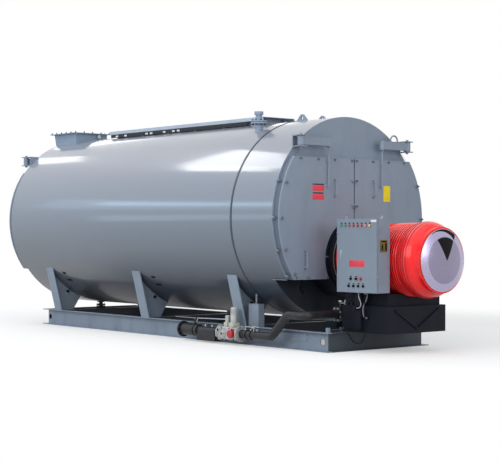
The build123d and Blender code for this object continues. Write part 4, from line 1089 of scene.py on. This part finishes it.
def add_nozzle_bolts():
    """Bolts of the shoulder nozzle's and the blowdown nozzle's flanges."""
    low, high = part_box("shoulder_nozzle")
    with piece("shoulder_flange_bolts", dark_steel, "flue_paint") as bolts:
        for z, way in ((3.0497, 1), (3.0037, -1)):
            for across, back in around(8, 0.090):
                place = ((low.x + high.x) / 2 + across, (low.y + high.y) / 2 + back, z)
                add_bolt(bolts, place, (0, 0, way), 0.022, 0.012)
    low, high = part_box("blowdown_nozzle")
    with piece("blowdown_bolts", dark_steel, "flue_paint") as bolts:
        for across, back in around(6, 0.060):
            for z, way in ((0.308, 1), (0.263, -1)):
                add_bolt(bolts, (across, (low.y + high.y) / 2 + back, z), (0, 0, way), 0.018, 0.010)


def add_walkway_details():
    """Clamps under the walkway's left edge, and dark bars along its underside as painted shadow."""
    low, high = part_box("top_walkway")
    with piece("walkway_clamps", white_plastic) as clamps:
        for y in (5.02, 4.78, 4.20, 4.08, 3.74, 3.50, 3.38):
            near = (low.x - 0.012, along(y) - 0.028, low.z + 0.016)
            add_block(clamps, near, (low.x + 0.004, along(y) + 0.028, low.z + 0.044), 0.003)
            add_bolt(clamps, (low.x - 0.012, along(y), low.z + 0.030), to_left, 0.022, 0.012)
    # Painted shadow: dark bars along the walkway's sides, below its deck.
    with piece("walkway_underside_shadow_bars", dark_steel) as bars:
        for side in (-1, 1):
            near = (side * (high.x - 0.004), along(1.75), low.z + 0.012)
            add_block(bars, near, (side * (high.x + 0.0012), along(5.20), high.z - 0.052))


def add_junction_details():
    """Lid and screws of the junction box."""
    low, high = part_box("junction_box")
    with piece("junction_box_lid", cabinet_grey, "cabinet_paint") as lid:
        add_plate(lid, (low.x, (low.y + high.y) / 2, 0.404), to_left, 0.195, 0.296, 0.004, 0.0015)
    with piece("junction_box_screws", bright_steel, "cabinet_paint") as screws:
        for y in (low.y + 0.016, high.y - 0.016):
            for z in (0.268, 0.540):
                add_round(screws, (low.x - 0.004, y, z), to_left, 0.006, 0.003, 12)


add_door_fasteners()
add_arm_eye()
add_door_plates()
add_chord_lugs()
add_seals()
add_tube_ends()
add_cabinet_door_details()
add_cabinet_case_details()
add_cover_inlays()
add_burner_details()
add_gas_line_details()
add_gas_block_details()
add_butterfly_details()
add_block_plugs()
add_shell_details()
add_flue_details()
add_nozzle_bolts()
add_walkway_details()
add_junction_details()


# Floor, world and lamps

def white_seen(tree, seen, other):
    """One shader for the camera and for what glossy and clear surfaces show, and another elsewhere."""
    path = add_node(tree, "ShaderNodeLightPath", {}).outputs
    total = path["Is Camera Ray"]
    for ray in ("Is Glossy Ray", "Is Transmission Ray"):
        total = add_node(tree, "ShaderNodeMath", {0: total, 1: path[ray]}, operation="MAXIMUM").outputs[0]
    return add_node(tree, "ShaderNodeMixShader", {0: total, 1: other, 2: seen}).outputs[0]


def add_world():
    """White where it is seen, and a soft even light with a brighter sky elsewhere."""
    world = bpy.data.worlds.new("studio")
    tree = empty_tree(world)
    white = add_node(tree, "ShaderNodeBackground", {0: (1.0, 1.0, 1.0, 1.0), 1: 1.0}).outputs[0]
    place = add_node(tree, "ShaderNodeTexCoord", {}).outputs["Generated"]
    height = add_node(tree, "ShaderNodeSeparateXYZ", {0: place}).outputs[2]
    sockets = {"Value": height, "From Min": -0.2, "From Max": 0.8, "To Min": 0.34, "To Max": 0.56}
    level = add_node(tree, "ShaderNodeMapRange", sockets).outputs[0]
    soft = add_node(tree, "ShaderNodeBackground", {0: (0.93, 0.97, 1.0, 1.0), 1: level}).outputs[0]
    add_node(tree, "ShaderNodeOutputWorld", {0: white_seen(tree, white, soft)})
    scene.world = world


def add_floor():
    """Pale floor that keeps the shadow near the boiler and fades to white away from it."""
    mesh = bmesh.new()
    bmesh.ops.create_grid(mesh, x_segments=2, y_segments=2, size=90.0)
    data = bpy.data.meshes.new("studio_floor")
    mesh.to_mesh(data)
    mesh.free()
    floor = bpy.data.objects.new("studio_floor", data)
    material = bpy.data.materials.new("pale_floor")
    tree = empty_tree(material)
    place = add_node(tree, "ShaderNodeTexCoord", {}).outputs["Object"]
    away = add_node(tree, "ShaderNodeVectorMath", {0: place}, operation="LENGTH").outputs["Value"]
    sockets = {"Value": away, "From Min": 4.5, "From Max": 9.0, "To Min": 0.35, "To Max": 1.0}
    far = add_node(tree, "ShaderNodeMapRange", sockets, interpolation_type="SMOOTHSTEP").outputs[0]
    pale = add_node(tree, "ShaderNodeBsdfDiffuse", {0: (0.95, 0.95, 0.95, 1.0)}).outputs[0]
    light = add_node(tree, "ShaderNodeEmission", {1: 1.0}).outputs[0]
    seen = add_node(tree, "ShaderNodeMixShader", {0: far, 1: pale, 2: light}).outputs[0]
    dull = add_node(tree, "ShaderNodeBsdfDiffuse", {0: (0.46, 0.46, 0.47, 1.0)}).outputs[0]
    add_node(tree, "ShaderNodeOutputMaterial", {0: white_seen(tree, seen, dull)})
    data.materials.append(material)
    scene.collection.objects.link(floor)


def add_lamp(name, place, target, wide, tall, energy, colour=(1.0, 1.0, 1.0), turn=0.0):
    """Area lamp that looks at a target, or straight down without one, turned on its own axis."""
    data = bpy.data.lights.new(name, "AREA")
    data.shape = "RECTANGLE"
    data.size = wide
    data.size_y = tall
    data.energy = energy
    data.color = colour
    lamp = bpy.data.objects.new(name, data)
    lamp.location = place
    lamp.rotation_mode = "QUATERNION"
    target = target or (place[0], place[1], 0.0)
    aim = (Vector(target) - Vector(place)).to_track_quat("-Z", "Y")
    lamp.rotation_quaternion = aim @ Quaternion(up, turn)
    scene.collection.objects.link(lamp)


cool = (0.50, 0.76, 1.0)
flank = (0, 1, 1.7)
add_world()
add_floor()
add_lamp("overhead", (-3.0, -4.0, 11.0), (0, -1, 1.5), 12.0, 12.0, 340.0)
add_lamp("left_key", (-13.0, -3.0, 6.5), (0, 0, 1.5), 12.0, 7.0, 820.0)
add_lamp("front_fill", (-2.0, -14.0, 4.5), (0, -2, 1.5), 9.0, 5.0, 420.0)
add_lamp("sheen_low", (-4.0, along(8.95), 8.0), None, 1.1, 2.5, 55.0, turn=radians(-23))
add_lamp("sheen_high", (-2.5, along(8.1), 8.0), None, 1.9, 3.2, 90.0, turn=radians(43))
add_lamp("sheen_near", (-3.3, along(7.2), 8.0), None, 2.4, 1.6, 50.0)
add_lamp("rear_glint", (-0.15, along(14.5), 8.0), (0, along(5.0), 2.0), 1.3, 1.2, 16.0)
add_lamp("crown_rim", (7.3, along(15.8), 8.0), None, 7.0, 5.0, 260.0, turn=radians(-44))
add_lamp("flank_core", (-9.0, along(11.9), 4.40), flank, 5.0, 0.6, 26.0, cool)
add_lamp("flank_glow", (-9.0, along(12.9), 4.40), flank, 6.6, 1.6, 24.0, cool)
add_lamp("waist_strip", (-9.0, along(11.6), 1.95), flank, 4.6, 0.9, 13.0, (0.70, 0.88, 1.0))
scene.view_settings.view_transform = "Standard"
